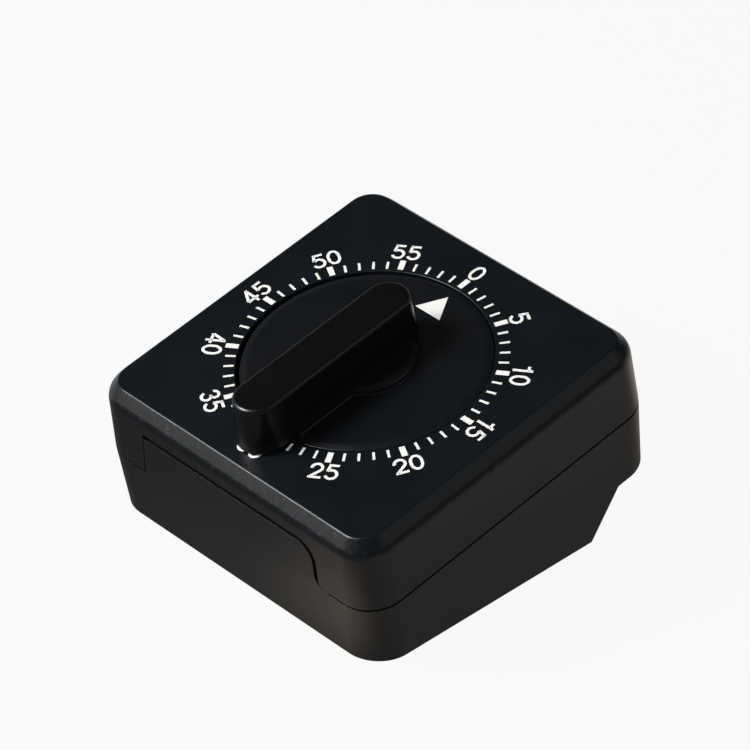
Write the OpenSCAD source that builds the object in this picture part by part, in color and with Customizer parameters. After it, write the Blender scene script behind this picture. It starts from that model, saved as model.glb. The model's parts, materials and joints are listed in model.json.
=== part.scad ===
// Mechanical sixty-minute countdown timer.
// The dial leans back on a wedge-shaped base. A bar handle on a round knob winds the
// mainspring; a plated clockwork movement runs it back to zero and strikes a bell.
//
// Every piece is modelled in the dial frame: the dial centre on the face is the origin,
// +Y points to the zero mark and +Z points out of the face. The placed() module leans the
// dial back, so that the base lies on the plane z = 0.

/* [Case] */
// Width of the case round its face, seen from the front
case_width = 70.4; // [64:0.1:90]
// Height of the case round its face, seen from the front
case_height = 71; // [65:0.5:90]
// Corner radius of the case, seen from the front
corner_radius = 7.1; // [5:0.1:9]
// Wall thickness of both shells
wall = 2; // [1.6:0.1:2.4]
// Width of the bevel round the face
bevel_width = 2.2; // [1:0.1:3]
// Depth of the bevel round the face
bevel_depth = 2.6; // [1:0.1:3.5]
// Depth of the parting line below the face
parting_depth = 15.2; // [14:0.1:18]
// Slope of the front shell's walls, which spread from the face to the parting line
front_draft = 2.3; // [1:0.1:3]
// Depth of the case below the face at its low side
low_depth = 28.5; // [28:0.5:34]
// Depth of the shallow strip behind the heel
strip_depth = 31.6; // [30:0.2:36]
// Length of the base, from the low side to the heel
base_length = 54.9; // [52:0.1:60]
// Slope of the cut-back behind the heel, from the face plane
cutback_angle = 50; // [40:1:65]
// Angle at which the dial leans back
face_tilt = 11.5; // [8:0.5:14]
// Slope of the rear shell's side walls
side_draft = 4.7; // [1:0.1:6]
// Radius of the top rear edge
rear_edge_radius = 4; // [2:0.5:5]
// Gap of the parting line
seam_gap = 0.3; // [0.1:0.05:0.4]

/* [Front tongue of the rear shell] */
// Depth of the tongue's top edge below the face
tongue_top = 6.4; // [5.5:0.1:8]
// Distance from the dial centre to the tongue's slanted left end
tongue_left = 22.3; // [16:0.1:23]
// Slant of the left end over its height
tongue_slant = 0.9; // [0:0.1:3]
// Distance from the dial centre to the tongue's upright right end
tongue_right = 21.3; // [16:0.1:23]
// Radius of the tongue's upper right corner
tongue_round = 3.5; // [2:0.1:4]
// Gap along the tongue's top and right end
tongue_gap = 0.6; // [0.3:0.1:0.8]
// Radius where the right end runs into the parting line
tongue_flare = 2.5; // [1:0.1:3]
// Height of the lip that locates the shells on each other
lip_height = 2.4; // [1.5:0.1:3]
// Thickness of that lip
lip_wall = 0.9; // [0.7:0.1:1.2]

/* [Knob] */
// Radius of the knob's disc
disc_radius = 23.1; // [20:0.1:23.5]
// Gap between the disc and its recess
disc_gap = 0.3; // [0.2:0.1:1.2]
// Radius of the disc's rounded edge
disc_edge = 1.5; // [0.5:0.1:1.5]
// Thickness of the disc
disc_thickness = 2.2; // [1.8:0.1:2.4]
// Depth of the skirt under the disc's edge, below the face
skirt_depth = 3.1; // [2.6:0.1:3.3]
// Thickness of the skirt
skirt_wall = 1.6; // [1.2:0.1:2.5]
// Radius of the round hub round the handle
hub_radius = 9.3; // [8:0.1:11]
// Height of the hub above the face
hub_height = 1.5; // [0.5:0.1:2]
// Width of the hub's sloped edge
hub_slope = 1; // [0.5:0.1:1.5]
// Width of the handle at its top
handle_width = 8.5; // [8.5:0.1:11]
// Height of the handle above the face
handle_height = 10.5; // [9:0.5:16]
// Length of the handle from the dial centre towards the pointer
handle_front = 11; // [8:0.2:14]
// Length of the handle from the dial centre past the disc's edge
handle_back = 30; // [27:0.5:31]
// Slope of the handle's sides
handle_draft = 2.8; // [0:0.1:4]
// Rounding of the handle's top edge
handle_edge = 0.8; // [0.3:0.1:1.5]
// Clearance under the handle's overhanging end
handle_clearance = 0.5; // [0.4:0.1:1.5]

/* [Recess and movement seat] */
// Depth of the recess for the knob
recess_depth = 4; // [3.8:0.1:5]
// Distance from the recess floor's back to the movement's front plate
seat_height = 2; // [1.5:0.1:3]
// Radius of the bosses that carry the movement
boss_radius = 2.8; // [2.2:0.1:3]
// Distance of those bosses' centres from the inside of the nearest wall
boss_inset = 3.7; // [3:0.1:4]
// Radius of the movement screws' threads
movement_screw_radius = 1; // [0.8:0.05:1.2]

/* [Case screws] */
// Distance of the case screws from the two nearest sides of the case
case_screw_inset = 7.5; // [7:0.1:8.5]
// Radius of the posts that take the case screws
post_radius = 2.8; // [2.4:0.1:3]
// Radius of the case screws' threads
case_screw_radius = 1.25; // [1:0.05:1.4]
// Radius of the case screws' heads
case_screw_head = 2.3; // [2:0.1:2.5]
// Height of the case screws' heads
case_screw_head_height = 1.6; // [1.2:0.1:2]
// Depth below the face of the seat under each case screw's head
case_screw_seat = 22; // [20:0.5:23]
// Radius of the tubes that guide the case screws
tube_radius = 3.6; // [3.5:0.1:4]

/* [Sound slots] */
// Number of sound slots in the base
slot_count = 5; // [3:1:7]
// Width of each sound slot
slot_width = 1.6; // [1:0.1:2]
// Length of each sound slot
slot_length = 18; // [10:1:22]
// Distance between sound slots
slot_pitch = 4; // [3.5:0.1:5]

/* [Movement frame] */
// Radius of the movement's plates
plate_radius = 27; // [27:0.1:27.6]
// Thickness of the movement's plates
plate_thickness = 1; // [0.8:0.1:1.2]
// Distance between the plates
plate_spacing = 12; // [12:0.1:12.8]
// Distance of the pillars from the dial centre
pillar_circle = 24; // [23.6:0.1:24.6]
// Radius of the pillars
pillar_radius = 1.6; // [1.3:0.1:1.8]
// Radius of the plate screws' threads
plate_screw_radius = 0.8; // [0.6:0.05:1]
// Radius of the plate screws' heads
plate_screw_head = 1.8; // [1.5:0.1:2]

/* [Main arbor and spring] */
// Radius of the main arbor
arbor_radius = 3; // [2.6:0.05:3.05]
// Depth of the flat on the arbor's knob end
arbor_flat = 0.9; // [0.6:0.05:1.2]
// Length of the arbor above the face
arbor_end = 5.4; // [4:0.1:6]
// Thickness of the leaf spring between the arbor's flat and the knob
leaf_thickness = 0.4; // [0.3:0.05:0.5]
// Width of that leaf spring
leaf_width = 2.1; // [1.5:0.1:2.4]
// Radial running clearance of the arbors in their holes
running_clearance = 0.05; // [0.02:0.01:0.08]
// Radius of the arbor's flange
flange_radius = 5; // [4.2:0.1:5.4]
// Radius of the arbor's rear pivot
rear_pivot_radius = 1.4; // [1:0.1:1.6]
// Outer radius of the wound mainspring
spring_radius = 10.2; // [9.4:0.1:10.3]
// Height of the mainspring's strip
spring_height = 4.2; // [3.4:0.1:4.4]
// Thickness of the mainspring's strip
spring_strip = 0.35; // [0.25:0.05:0.4]
// Number of turns of the mainspring
spring_turns = 8; // [6:1:9]
// Radius of the post that holds the mainspring's outer end
spring_post_radius = 0.9; // [0.7:0.1:1]

/* [Gear train] */
// Module of the great wheel and its pinion
module_1 = 0.45; // [0.44:0.005:0.46]
// Module of the second wheel and its pinion
module_2 = 0.35; // [0.34:0.005:0.36]
// Module of the third wheel and its pinion
module_3 = 0.265; // [0.255:0.005:0.275]
// Teeth of the great wheel
great_teeth = 66; // [64:1:68]
// Teeth of the second wheel
second_teeth = 60; // [58:1:61]
// Teeth of the third wheel
third_teeth = 64; // [62:1:65]
// Leaves of each pinion
pinion_leaves = 8; // [7:1:9]
// Thickness of the train's wheels
wheel_thickness = 0.7; // [0.5:0.05:0.8]
// Thickness of the great wheel
great_thickness = 1; // [0.8:0.05:1.1]
// Radius of the train's arbors
train_arbor = 0.55; // [0.45:0.05:0.6]
// Radius of the train's pivots
pivot_radius = 0.4; // [0.3:0.05:0.45]

/* [Escapement] */
// Teeth of the escape wheel
escape_teeth = 15; // [15:1:16]
// Radius of the escape wheel
escape_radius = 6; // [5.7:0.05:6.2]
// Radius of the anchor's pallet pins
pallet_pin_radius = 0.3; // [0.2:0.05:0.3]
// Distance that a pallet pin dips past the tooth tips
pallet_dip = 0.4; // [0.2:0.05:0.42]
// Radius of the anchor's balance weight
weight_radius = 4.8; // [4:0.1:5]

/* [Striking work] */
// Radius of the alarm cam
cam_radius = 7; // [6.4:0.1:7.2]
// Depth of the cam's notch
cam_notch = 2; // [1.6:0.1:2.2]
// Thickness of the cam
cam_thickness = 1.5; // [1.2:0.1:1.6]
// Angle that the hammer lever drops when the cam's notch reaches it
hammer_drop = 5.2; // [4:0.1:5.4]
// Radius of the hammer's arbor
hammer_arbor = 0.8; // [0.6:0.05:0.9]
// Radius of the hammer's head
hammer_head = 1.5; // [1.2:0.1:1.7]
// Gap between the raised hammer and the bell
strike_gap = 1.1; // [1.05:0.05:1.3]
// Radius of the bell
bell_radius = 16; // [15:0.1:16.2]
// Height of the bell
bell_height = 7; // [6:0.1:7.5]
// Wall thickness of the bell
bell_wall = 0.8; // [0.6:0.05:1]
// Distance from the dial centre to the bell's post
bell_offset = 6; // [5.8:0.1:6.4]

/* [Hidden] */

$fn = 64;
fine = 0.01;                      // smallest overlap that joins two cuts
fit_gap = 0.05;                   // gap between two pieces that are pressed or screwed together
half_w = case_width / 2;
half_h = case_height / 2;
low_y = -half_h;
spread = (parting_depth - bevel_depth) * tan(front_draft);    // of each wall, at the parting line
boss_circle = min(half_w, half_h) - wall - boss_inset;
case_screw_x = half_w - case_screw_inset;
case_screw_y = half_h - case_screw_inset;

// Rear profile, in the plane across the dial from the 30 mark to the 0 mark
heel_y = low_y + base_length * cos(face_tilt);
heel_z = -low_depth - base_length * sin(face_tilt);
cutback_y = heel_y + (-strip_depth - heel_z) / tan(cutback_angle);
rear_drop = base_length;          // deeper than any point of the rear shell

// Height and fore-and-aft place of the dial centre over the base
lift = low_depth * cos(face_tilt) + half_h * sin(face_tilt);
y_front = low_y * cos(face_tilt) + bevel_depth * sin(face_tilt);
y_rear = (half_h + spread - rear_edge_radius) * cos(face_tilt)
    + (strip_depth - rear_edge_radius) * sin(face_tilt) + rear_edge_radius;
y_shift = -(y_front + y_rear) / 2;

// Levels, all measured along Z in the dial frame
floor_back = -recess_depth - wall;
front_plate_top = floor_back - seat_height;
inside_top = front_plate_top - plate_thickness;
inside_bottom = inside_top - plate_spacing;
back_plate_bottom = inside_bottom - plate_thickness;
recess_radius = disc_radius + disc_gap;
recess_wall_radius = recess_radius + wall;

level_gap = 0.4;                  // least gap between two moving levels
pinion_margin = 0.4;              // length of a pinion past each face of its wheel
cam_top = inside_top - level_gap;
escape_top = inside_top - level_gap;
third_top = escape_top - wheel_thickness - 2 * level_gap;
anchor_top = escape_top - wheel_thickness - level_gap;
anchor_thickness = 0.6;
weight_top = anchor_top - anchor_thickness;
weight_thickness = 1.1;
spring_top = cam_top - cam_thickness - 2 * level_gap;
flange_thickness = 0.5;
flange_top = spring_top - spring_height - level_gap / 2;
great_top = flange_top - flange_thickness - fit_gap;
clutch_top = great_top - great_thickness - fit_gap;
clutch_height = 0.8;
clutch_strip = 0.25;
clip_top = clutch_top - clutch_height - fit_gap;
clip_thickness = 0.5;
second_bottom = inside_bottom + level_gap;
second_top = second_bottom + wheel_thickness;
tail_top = weight_top - weight_thickness - level_gap;
arm_thickness = 0.8;

// Train geometry: pitch radii, centre distances and the places of the arbors
great_pitch = module_1 * great_teeth / 2;
second_pitch = module_2 * second_teeth / 2;
third_pitch = module_3 * third_teeth / 2;
pinion_pitch_1 = module_1 * pinion_leaves / 2;
pinion_pitch_2 = module_2 * pinion_leaves / 2;
pinion_pitch_3 = module_3 * pinion_leaves / 2;
second_angle = 215;
third_angle = -35;
escape_angle = 0;
anchor_angle = 35;
function polar(r, a) = [r * cos(a), r * sin(a)];
second_at = polar(great_pitch + pinion_pitch_1, second_angle);
third_at = second_at + polar(second_pitch + pinion_pitch_2, third_angle);
escape_at = third_at + polar(third_pitch + pinion_pitch_3, escape_angle);

// Escapement: the pins stand three and a half teeth apart, each square to its anchor arm
pallet_span = 3.5 * 360 / escape_teeth;
pin_clear = 0.07;
pin_circle = escape_radius + pallet_pin_radius + pin_clear;
anchor_distance = pin_circle / cos(pallet_span / 2);
anchor_reach = anchor_distance * sin(pallet_span / 2);
anchor_at = escape_at + polar(anchor_distance, anchor_angle);

// Striking work: the nose stands on the cam's rim, square to the lever
nose_angle = 60;
nose_radius = 0.6;
nose_clear = 0.1;
lever_length = 16;
nose_circle = cam_radius + nose_radius + nose_clear;
nose_at = polar(nose_circle, nose_angle);
elbow_at = polar(nose_circle + cam_notch, nose_angle);
hammer_at = elbow_at + polar(lever_length, nose_angle - 90);
bell_at = [0, bell_offset];
head_angle = 10;
head_at = bell_at + polar(bell_radius + strike_gap + hammer_head, head_angle);
star_radius = 2.2;
star_root = 1.5;
star_teeth = 4;
tail_radius = 0.3;
// the tail moves straight at the star's axis and stops just short of its root
tail_line = hammer_at - escape_at;
tail_distance = star_root + tail_radius + 2 * nose_clear + norm(tail_line) * sin(hammer_drop);
tail_angle = atan2(tail_line[1], tail_line[0]) + acos(tail_distance / norm(tail_line));
tail_at = escape_at + polar(tail_distance, tail_angle);
bell_top = back_plate_bottom - 1.3;
hammer_arm_top = back_plate_bottom - level_gap;

pillar_angles = [40, 130, 160, 306];
ear_angles = [0, 90, 180, 270];
spring_post_angle = 130;
post_places = [for (x = [-1, 1], y = [-1, 1]) [x * case_screw_x, y * case_screw_y]];

black_plastic = [0.09, 0.1, 0.11];
steel = "silver";
brass = "goldenrod";

// ---------------------------------------------------------------- helpers

// Leans the dial back and sets the base on the ground plane
module placed() {
    translate([0, y_shift, lift]) rotate([face_tilt, 0, 0]) children();
}

// A plate of the child outline, whose upper face lies at level top
module slab(top, thickness) {
    translate([0, 0, top - thickness]) linear_extrude(thickness) children();
}

// A round bar between two levels
module bar(at, radius, top, bottom) {
    translate([at[0], at[1], bottom]) cylinder(r = radius, h = top - bottom);
}

// A straight arm with round ends, from a to b
module arm(a, b, width) {
    d = b - a;
    translate(a) rotate(atan2(d[1], d[0])) translate([0, -width / 2]) square([norm(d), width]);
    translate(a) circle(d = width);
    translate(b) circle(d = width);
}

// A rectangle about the dial centre with round corners
module round_rectangle(w, h, r) {
    square([w - 2 * r, h], center = true);
    square([w, h - 2 * r], center = true);
    for (x = [-1, 1], y = [-1, 1]) translate([x * (w / 2 - r), y * (h / 2 - r)]) circle(r = r);
}

// ---------------------------------------------------------------- case

// The case's outline at the parting line, drawn in by inset and by sideways draft
module case_outline(inset, draft_inset) {
    w = case_width + 2 * spread - 2 * inset;
    h = case_height + 2 * spread - 2 * inset;
    round_rectangle(w - 2 * draft_inset, h, corner_radius + spread - inset);
}

module case_slice(level, inset, draft_inset) {
    translate([0, 0, level]) linear_extrude(fine) case_outline(inset, draft_inset);
}

// The front's side profile; its shoulders are at x = half and its feet spread past them
module front_profile(half, inset) {
    run = bevel_width;
    top = -inset;
    polygon([[-half - spread, -parting_depth], [-half, -bevel_depth - inset / 2],
             [-half + run, top], [half - run, top], [half, -bevel_depth - inset / 2],
             [half + spread, -parting_depth]]);
}

// The front shell's bevelled block, drawn in by inset; wall and bevel run round as cones
module front_form(inset) {
    w = case_width - 2 * inset;
    h = case_height - 2 * inset;
    r = max(corner_radius - inset, bevel_width + fine);
    shoulder = -bevel_depth - inset / 2;
    rotate([90, 0, 0]) linear_extrude(h - 2 * r, center = true) front_profile(w / 2, inset);
    rotate([90, 0, 90]) linear_extrude(w - 2 * r, center = true) front_profile(h / 2, inset);
    for (x = [-1, 1], y = [-1, 1]) translate([x * (w / 2 - r), y * (h / 2 - r), 0]) {
        translate([0, 0, -parting_depth])
            cylinder(r1 = r + spread, r2 = r, h = shoulder + parting_depth);
        translate([0, 0, shoulder])
            cylinder(r1 = r, r2 = r - bevel_width, h = -inset - shoulder);
    }
}

// The wedge's side profile, drawn in by inset, in dial Y and Z
module rear_profile(inset) {
    slope = tan(face_tilt);
    base_in = inset / cos(face_tilt);
    y0 = low_y - spread + inset;
    y1 = half_h + spread - inset;
    strip_z = -strip_depth + inset;
    cut_shift = inset / sin(cutback_angle);
    // the base line and the cut-back line, both drawn in, meet at the inner heel
    base_z0 = -low_depth + base_in;
    cut_t = tan(cutback_angle);
    heel_in_y = (heel_z - base_z0 + low_y * -slope + (-heel_y + cut_shift) * cut_t)
        / (-slope - cut_t);
    heel_in_z = base_z0 - (heel_in_y - low_y) * slope;
    cut_in_y = heel_in_y + (strip_z - heel_in_z) / cut_t;
    r = rear_edge_radius - inset * 0.75;
    polygon(concat(
        [[y0, fine], [y0, base_z0 - (y0 - low_y) * slope], [heel_in_y, heel_in_z],
         [cut_in_y, strip_z]],
        [for (a = [-90:7.5:0]) [y1 - r + r * cos(a), strip_z + r + r * sin(a)]],
        [[y1, fine]]));
}

module rear_form(inset) {
    draft = rear_drop * tan(side_draft);
    intersection() {
        hull() {
            case_slice(-parting_depth - fine, inset, 0);
            case_slice(-parting_depth - rear_drop, inset, draft);
        }
        rotate([90, 0, 90]) linear_extrude(2 * case_width, center = true) rear_profile(inset);
    }
}

// The tongue's outline on the low side, in dial X and Z, grown by grow and, to the left, by side
module tongue_outline(grow, side) {
    top = -tongue_top + grow;
    left = -tongue_left - side;
    right = tongue_right + grow;
    r = tongue_round + grow;
    f = tongue_flare - grow;
    polygon(concat(
        [[left - tongue_slant, -parting_depth - wall], [left - tongue_slant, -parting_depth],
         [left, top]],
        [for (a = [90:-7.5:0]) [right - r + r * cos(a), top - r + r * sin(a)]],
        [for (a = [180:7.5:270])
            [right + f + f * cos(a), -parting_depth + f + f * sin(a)]],
        [[right + f, -parting_depth - wall]]));
}

// The tongue's form, from outside the low wall to inner behind the case's low edge
module tongue_form(grow, side, inner) {
    depth = inner + 2 * wall;
    translate([0, low_y + inner, 0]) rotate([90, 0, 0]) linear_extrude(depth)
        tongue_outline(grow, side);
}

// The tongue is as thick as the walls and lies flush with the front shell's leaning wall
module tongue() intersection() {
    tongue_form(0, 0, wall);
    rotate([90, 0, 90]) linear_extrude(case_width, center = true)
        polygon([[low_y, -bevel_depth], [low_y - spread, -parting_depth],
                 [low_y - spread, -parting_depth - wall],
                 [low_y - spread + wall, -parting_depth - wall],
                 [low_y - spread + wall, -parting_depth], [low_y + wall, -bevel_depth]]);
}

// The lip stands inside the front shell's wall, on a ledge of the rear shell's wall
module lip() {
    reach = parting_depth - bevel_depth - wall / 2;
    outer = wall + seam_gap + spread * lip_height / reach;
    difference() {
        union() {
            slab(-parting_depth + lip_height, lip_height + wall) case_outline(outer, 0);
            slab(-parting_depth - seam_gap, wall - seam_gap) case_outline(wall / 2, 0);
        }
        slab(0, rear_drop) case_outline(outer + lip_wall, 0);
    }
}

module front_shell() placed() color(black_plastic) difference() {
    front_form(0);
    difference() {
        translate([0, 0, -fine]) front_form(wall);
        bar([0, 0], recess_wall_radius, 0, floor_back);
        bar([0, 0], arbor_radius + wall, 0, floor_back - wall / 2);
        for (a = ear_angles) bar(polar(boss_circle, a), boss_radius, 0, front_plate_top);
        for (p = post_places) bar(p, post_radius, 0, -parting_depth + fine);
    }
    bar([0, 0], recess_radius, fine, -recess_depth);
    bar([0, 0], arbor_radius + 4 * running_clearance, 0, front_plate_top);
    for (a = ear_angles)
        bar(polar(boss_circle, a), movement_screw_radius + fit_gap,
            -bevel_depth, front_plate_top - fine);
    for (p = post_places)
        bar(p, case_screw_radius + fit_gap, -bevel_depth - wall, -parting_depth - fine);
    tongue_form(tongue_gap, seam_gap / 2, wall + fine);
}

module rear_shell() placed() color(black_plastic) difference() {
    union() {
        difference() {
            rear_form(0);
            difference() {
                translate([0, 0, fine]) rear_form(wall);
                intersection() {
                    rear_form(0);
                    for (p = post_places)
                        bar(p, tube_radius, -parting_depth - seam_gap, -rear_drop);
                }
            }
            slab(-parting_depth + rear_drop, rear_drop + seam_gap / 2)
                square([2 * case_width, 2 * case_height], center = true);
        }
        difference() {
            lip();
            for (p = post_places) bar(p, post_radius + seam_gap, 0, -parting_depth - seam_gap);
        }
        tongue();
        for (x = [-1, 1]) translate([x * tongue_left / 2 - wall / 2, low_y + wall / 2,
                                     -parting_depth - wall])
            cube([wall, wall / 2 + lip_wall, parting_depth - tongue_top]);
    }
    for (p = post_places) {
        bar(p, case_screw_radius + 2 * fit_gap, -parting_depth + fine, -rear_drop);
        bar(p, case_screw_head + 4 * fit_gap, -case_screw_seat, -rear_drop);
    }
    for (i = [0:slot_count - 1])
        translate([0, (i - (slot_count - 1) / 2) * slot_pitch, -rear_drop])
            linear_extrude(rear_drop - low_depth + wall)
                arm([-slot_length / 2, 0], [slot_length / 2, 0], slot_width);
}

// A screw that points up along Z, with a cross in its head
module screw(at, seat, tip, thread, head, head_height) {
    cross = head * 0.3;
    difference() {
        union() {
            bar(at, thread, tip, seat - fine);
            bar(at, head, seat, seat - head_height);
        }
        translate([at[0], at[1], seat - head_height]) for (a = [0, 90]) rotate(a)
            cube([head * 1.2, cross, head_height], center = true);
    }
}

module case_screws() placed() color(steel)
    for (p = post_places)
        screw(p, -case_screw_seat, -bevel_depth - 2 * wall, case_screw_radius,
              case_screw_head, case_screw_head_height);

// ---------------------------------------------------------------- knob

// The handle's outline, drawn in by inset
module handle_outline(inset) {
    w = handle_width - 2 * inset;
    arm([0, handle_front - inset - w / 2], [0, -handle_back + inset + w / 2], w);
}

module handle_slice(level, inset) {
    translate([0, 0, level]) linear_extrude(fine) handle_outline(inset);
}

module handle_form(bottom) {
    t = tan(handle_draft);
    hull() {
        handle_slice(bottom, -(handle_height - bottom) * t);
        for (a = [0, 30, 60, 90])
            handle_slice(handle_height - fine - handle_edge * (1 - sin(a)),
                         handle_edge * (1 - cos(a)));
    }
}

module knob_profile() {
    r = disc_radius;
    e = disc_edge;
    polygon(concat(
        [[0, -disc_thickness], [r - skirt_wall, -disc_thickness], [r - skirt_wall, -skirt_depth],
         [r, -skirt_depth]],
        [for (a = [0:15:90]) [r - e + e * cos(a), -e + e * sin(a)]],
        [[hub_radius, 0], [hub_radius, hub_height - hub_slope / 2],
         [hub_radius - hub_slope, hub_height], [0, hub_height]]));
}

// The handle stands on the disc, and its end past the disc is clear of the case
module handle() difference() {
    handle_form(-fine);
    slab(handle_clearance, handle_clearance + wall) difference() {
        circle(r = 2 * handle_back);
        circle(r = disc_radius - disc_edge, $fn = 128);
    }
}

// The arbor's D-shaped end, grown by a radial clearance and by a clearance on the flat
module d_section(grow, flat_grow) {
    difference() {
        circle(r = arbor_radius + grow);
        translate([arbor_radius - arbor_flat + flat_grow, -2 * arbor_radius])
            square(4 * arbor_radius);
    }
}

module knob() placed() color(black_plastic) difference() {
    union() {
        rotate_extrude($fn = 128) knob_profile();
        handle();
        bar([0, 0], arbor_radius + wall, -fine, -skirt_depth - fit_gap);
    }
    translate([0, 0, -recess_depth]) linear_extrude(recess_depth + arbor_end + 2 * fit_gap)
        d_section(running_clearance, leaf_thickness + 2 * fit_gap);
}

// A bent leaf between the arbor's flat and the bore's flat
module knob_clip() placed() color(steel)
    translate([arbor_radius - arbor_flat + fit_gap, -leaf_width / 2, -disc_thickness])
        cube([leaf_thickness, leaf_width, disc_thickness + arbor_end - wall / 2]);

// ---------------------------------------------------------------- movement frame

module arbor_holes() {
    for (h = [[second_at, pivot_radius], [third_at, pivot_radius], [escape_at, pivot_radius],
              [anchor_at, pivot_radius], [hammer_at, hammer_arbor]])
        translate(h[0]) circle(r = h[1] + running_clearance);
}

module front_plate() placed() color(brass) slab(front_plate_top, plate_thickness)
    difference() {
        union() {
            circle(r = plate_radius);
            for (a = ear_angles)
                arm(polar(plate_radius - boss_radius, a), polar(boss_circle, a), 2 * boss_radius);
        }
        circle(r = arbor_radius + running_clearance);
        arbor_holes();
        for (a = ear_angles)
            translate(polar(boss_circle, a)) circle(r = movement_screw_radius + fit_gap);
        for (a = pillar_angles)
            translate(polar(pillar_circle, a)) circle(r = pillar_radius / 2 + fit_gap);
        translate(polar(spring_radius + spring_post_radius + fit_gap, spring_post_angle))
            circle(r = spring_post_radius / 2 + fit_gap);
    }

module back_plate() placed() color(brass) slab(inside_bottom, plate_thickness)
    difference() {
        circle(r = plate_radius);
        circle(r = rear_pivot_radius + running_clearance);
        arbor_holes();
        for (a = pillar_angles)
            translate(polar(pillar_circle, a)) circle(r = plate_screw_radius + fit_gap);
        translate(bell_at) circle(r = plate_screw_radius + 2 * fit_gap);
    }

// Turned pillars: a spigot in the front plate, a bore for the plate screw behind
module pillars() placed() color(steel)
    for (a = pillar_angles) difference() {
        union() {
            bar(polar(pillar_circle, a), pillar_radius, inside_top, inside_bottom);
            bar(polar(pillar_circle, a), pillar_radius / 2, front_plate_top, inside_top - fine);
        }
        bar(polar(pillar_circle, a), plate_screw_radius + fit_gap,
            inside_bottom + plate_spacing / 2, inside_bottom - fine);
    }

module plate_screws() placed() color(steel)
    for (a = pillar_angles)
        screw(polar(pillar_circle, a), back_plate_bottom,
              inside_bottom + plate_spacing / 2 - level_gap, plate_screw_radius,
              plate_screw_head, plate_thickness);

module movement_screws() placed() color(steel)
    for (a = ear_angles)
        screw(polar(boss_circle, a), inside_top, -bevel_depth - wall / 2,
              movement_screw_radius, movement_screw_radius * 2, plate_thickness);

// ---------------------------------------------------------------- main arbor

module main_arbor() placed() color(steel) {
    difference() {
        union() {
            translate([0, 0, -recess_depth]) linear_extrude(recess_depth + arbor_end)
                d_section(0, 0);
            bar([0, 0], arbor_radius, -recess_depth + fine, flange_top - fine);
            bar([0, 0], flange_radius, flange_top, flange_top - flange_thickness);
            bar([0, 0], arbor_radius * 0.8, flange_top, clip_top - clip_thickness - level_gap);
            bar([0, 0], rear_pivot_radius, clip_top, back_plate_bottom - level_gap / 2);
        }
        // groove for the spring clip
        slab(clip_top + fit_gap / 2, clip_thickness + fit_gap) difference() {
            circle(r = arbor_radius);
            circle(r = arbor_radius * 0.6);
        }
    }
}

spiral_steps_per_turn = 24;
spiral_steps = spring_turns * spiral_steps_per_turn;

// A point on the inner side (-1) or the outer side (1) of the mainspring's strip
function strip_point(i, side) =
    let (r_in = arbor_radius + spring_strip, r_out = spring_radius - spring_strip / 2)
    polar(r_in + (r_out - r_in) * i / spiral_steps + side * spring_strip / 2,
          spring_post_angle + (i - spiral_steps) * 360 / spiral_steps_per_turn);

// A flat spiral strip; its outer end lies at the spring post
module mainspring() placed() color("slategray") slab(spring_top, spring_height)
    polygon(concat([for (i = [0:spiral_steps]) strip_point(i, -1)],
                   [for (i = [spiral_steps:-1:0]) strip_point(i, 1)]));

module spring_post() placed() color(steel) {
    at = polar(spring_radius + spring_post_radius + fit_gap, spring_post_angle);
    bar(at, spring_post_radius, inside_top, spring_top - spring_height);
    bar(at, spring_post_radius / 2, front_plate_top, inside_top - fine);
}

// Dished washer that presses the great wheel against the arbor's flange
module clutch_spring() placed() color(steel) rotate_extrude() {
    r_in = arbor_radius * 0.8 + 2 * fit_gap;
    r_out = flange_radius;
    polygon([[r_in, clip_top + fit_gap], [r_in + clutch_strip, clip_top + fit_gap],
             [r_out, clutch_top - clutch_strip], [r_out, clutch_top],
             [r_out - clutch_strip, clutch_top], [r_in, clip_top + fit_gap + clutch_strip]]);
}

// Split ring in the arbor's groove
module arbor_clip() placed() color(steel) slab(clip_top, clip_thickness) difference() {
    circle(r = arbor_radius * 1.35);
    circle(r = arbor_radius * 0.6 + fit_gap);
    translate([-arbor_radius * 0.45, 0]) square([arbor_radius * 0.9, 2 * arbor_radius]);
}

// ---------------------------------------------------------------- gear train

// A point of the epicycloid that a circle of radius g rolls on a circle of radius p
function epicycloid(p, g, a) = [(p + g) * cos(a) - g * cos((p + g) / g * a),
                                (p + g) * sin(a) - g * sin((p + g) / g * a)];
// Rolling angle at which the epicycloid reaches the height h over its circle
function rolling(p, g, h) =
    acos(((p + g) * (p + g) + g * g - (p + h) * (p + h)) / (2 * (p + g) * g)) * g / p;
function turned(p, a) = [p[0] * cos(a) - p[1] * sin(a), p[0] * sin(a) + p[1] * cos(a)];
function flipped(p) = [p[0], -p[1]];

wheel_tooth_share = 0.46;         // tooth thickness over the pitch, on the pitch circle
leaf_share = 0.34;
wheel_addendum = 0.95;            // in modules, as the next two are
wheel_dedendum = 1.25;
wheel_rim = 1.25;                 // from the tooth roots to the windows

// One wheel tooth on +X: radial flanks below the pitch circle, epicycloid above it
function wheel_tooth(m, z, g) =
    let (p = m * z / 2, half = 90 / z * 2 * wheel_tooth_share, root = p - wheel_dedendum * m,
         top = rolling(p, g, wheel_addendum * m),
         side = [for (k = [0, 0.5, 0.8, 1]) turned(epicycloid(p, g, top * k), -half)])
    concat([polar(root, -half)], side, [for (k = [3:-1:0]) flipped(side[k])],
           [polar(root, half)]);

// Full wheel outline with a tooth centred on the angle phase
module wheel_outline(m, z, g, phase) {
    tooth = wheel_tooth(m, z, g);
    polygon([for (i = [0:z - 1], p = tooth) turned(p, phase + i * 360 / z)]);
}

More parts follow.
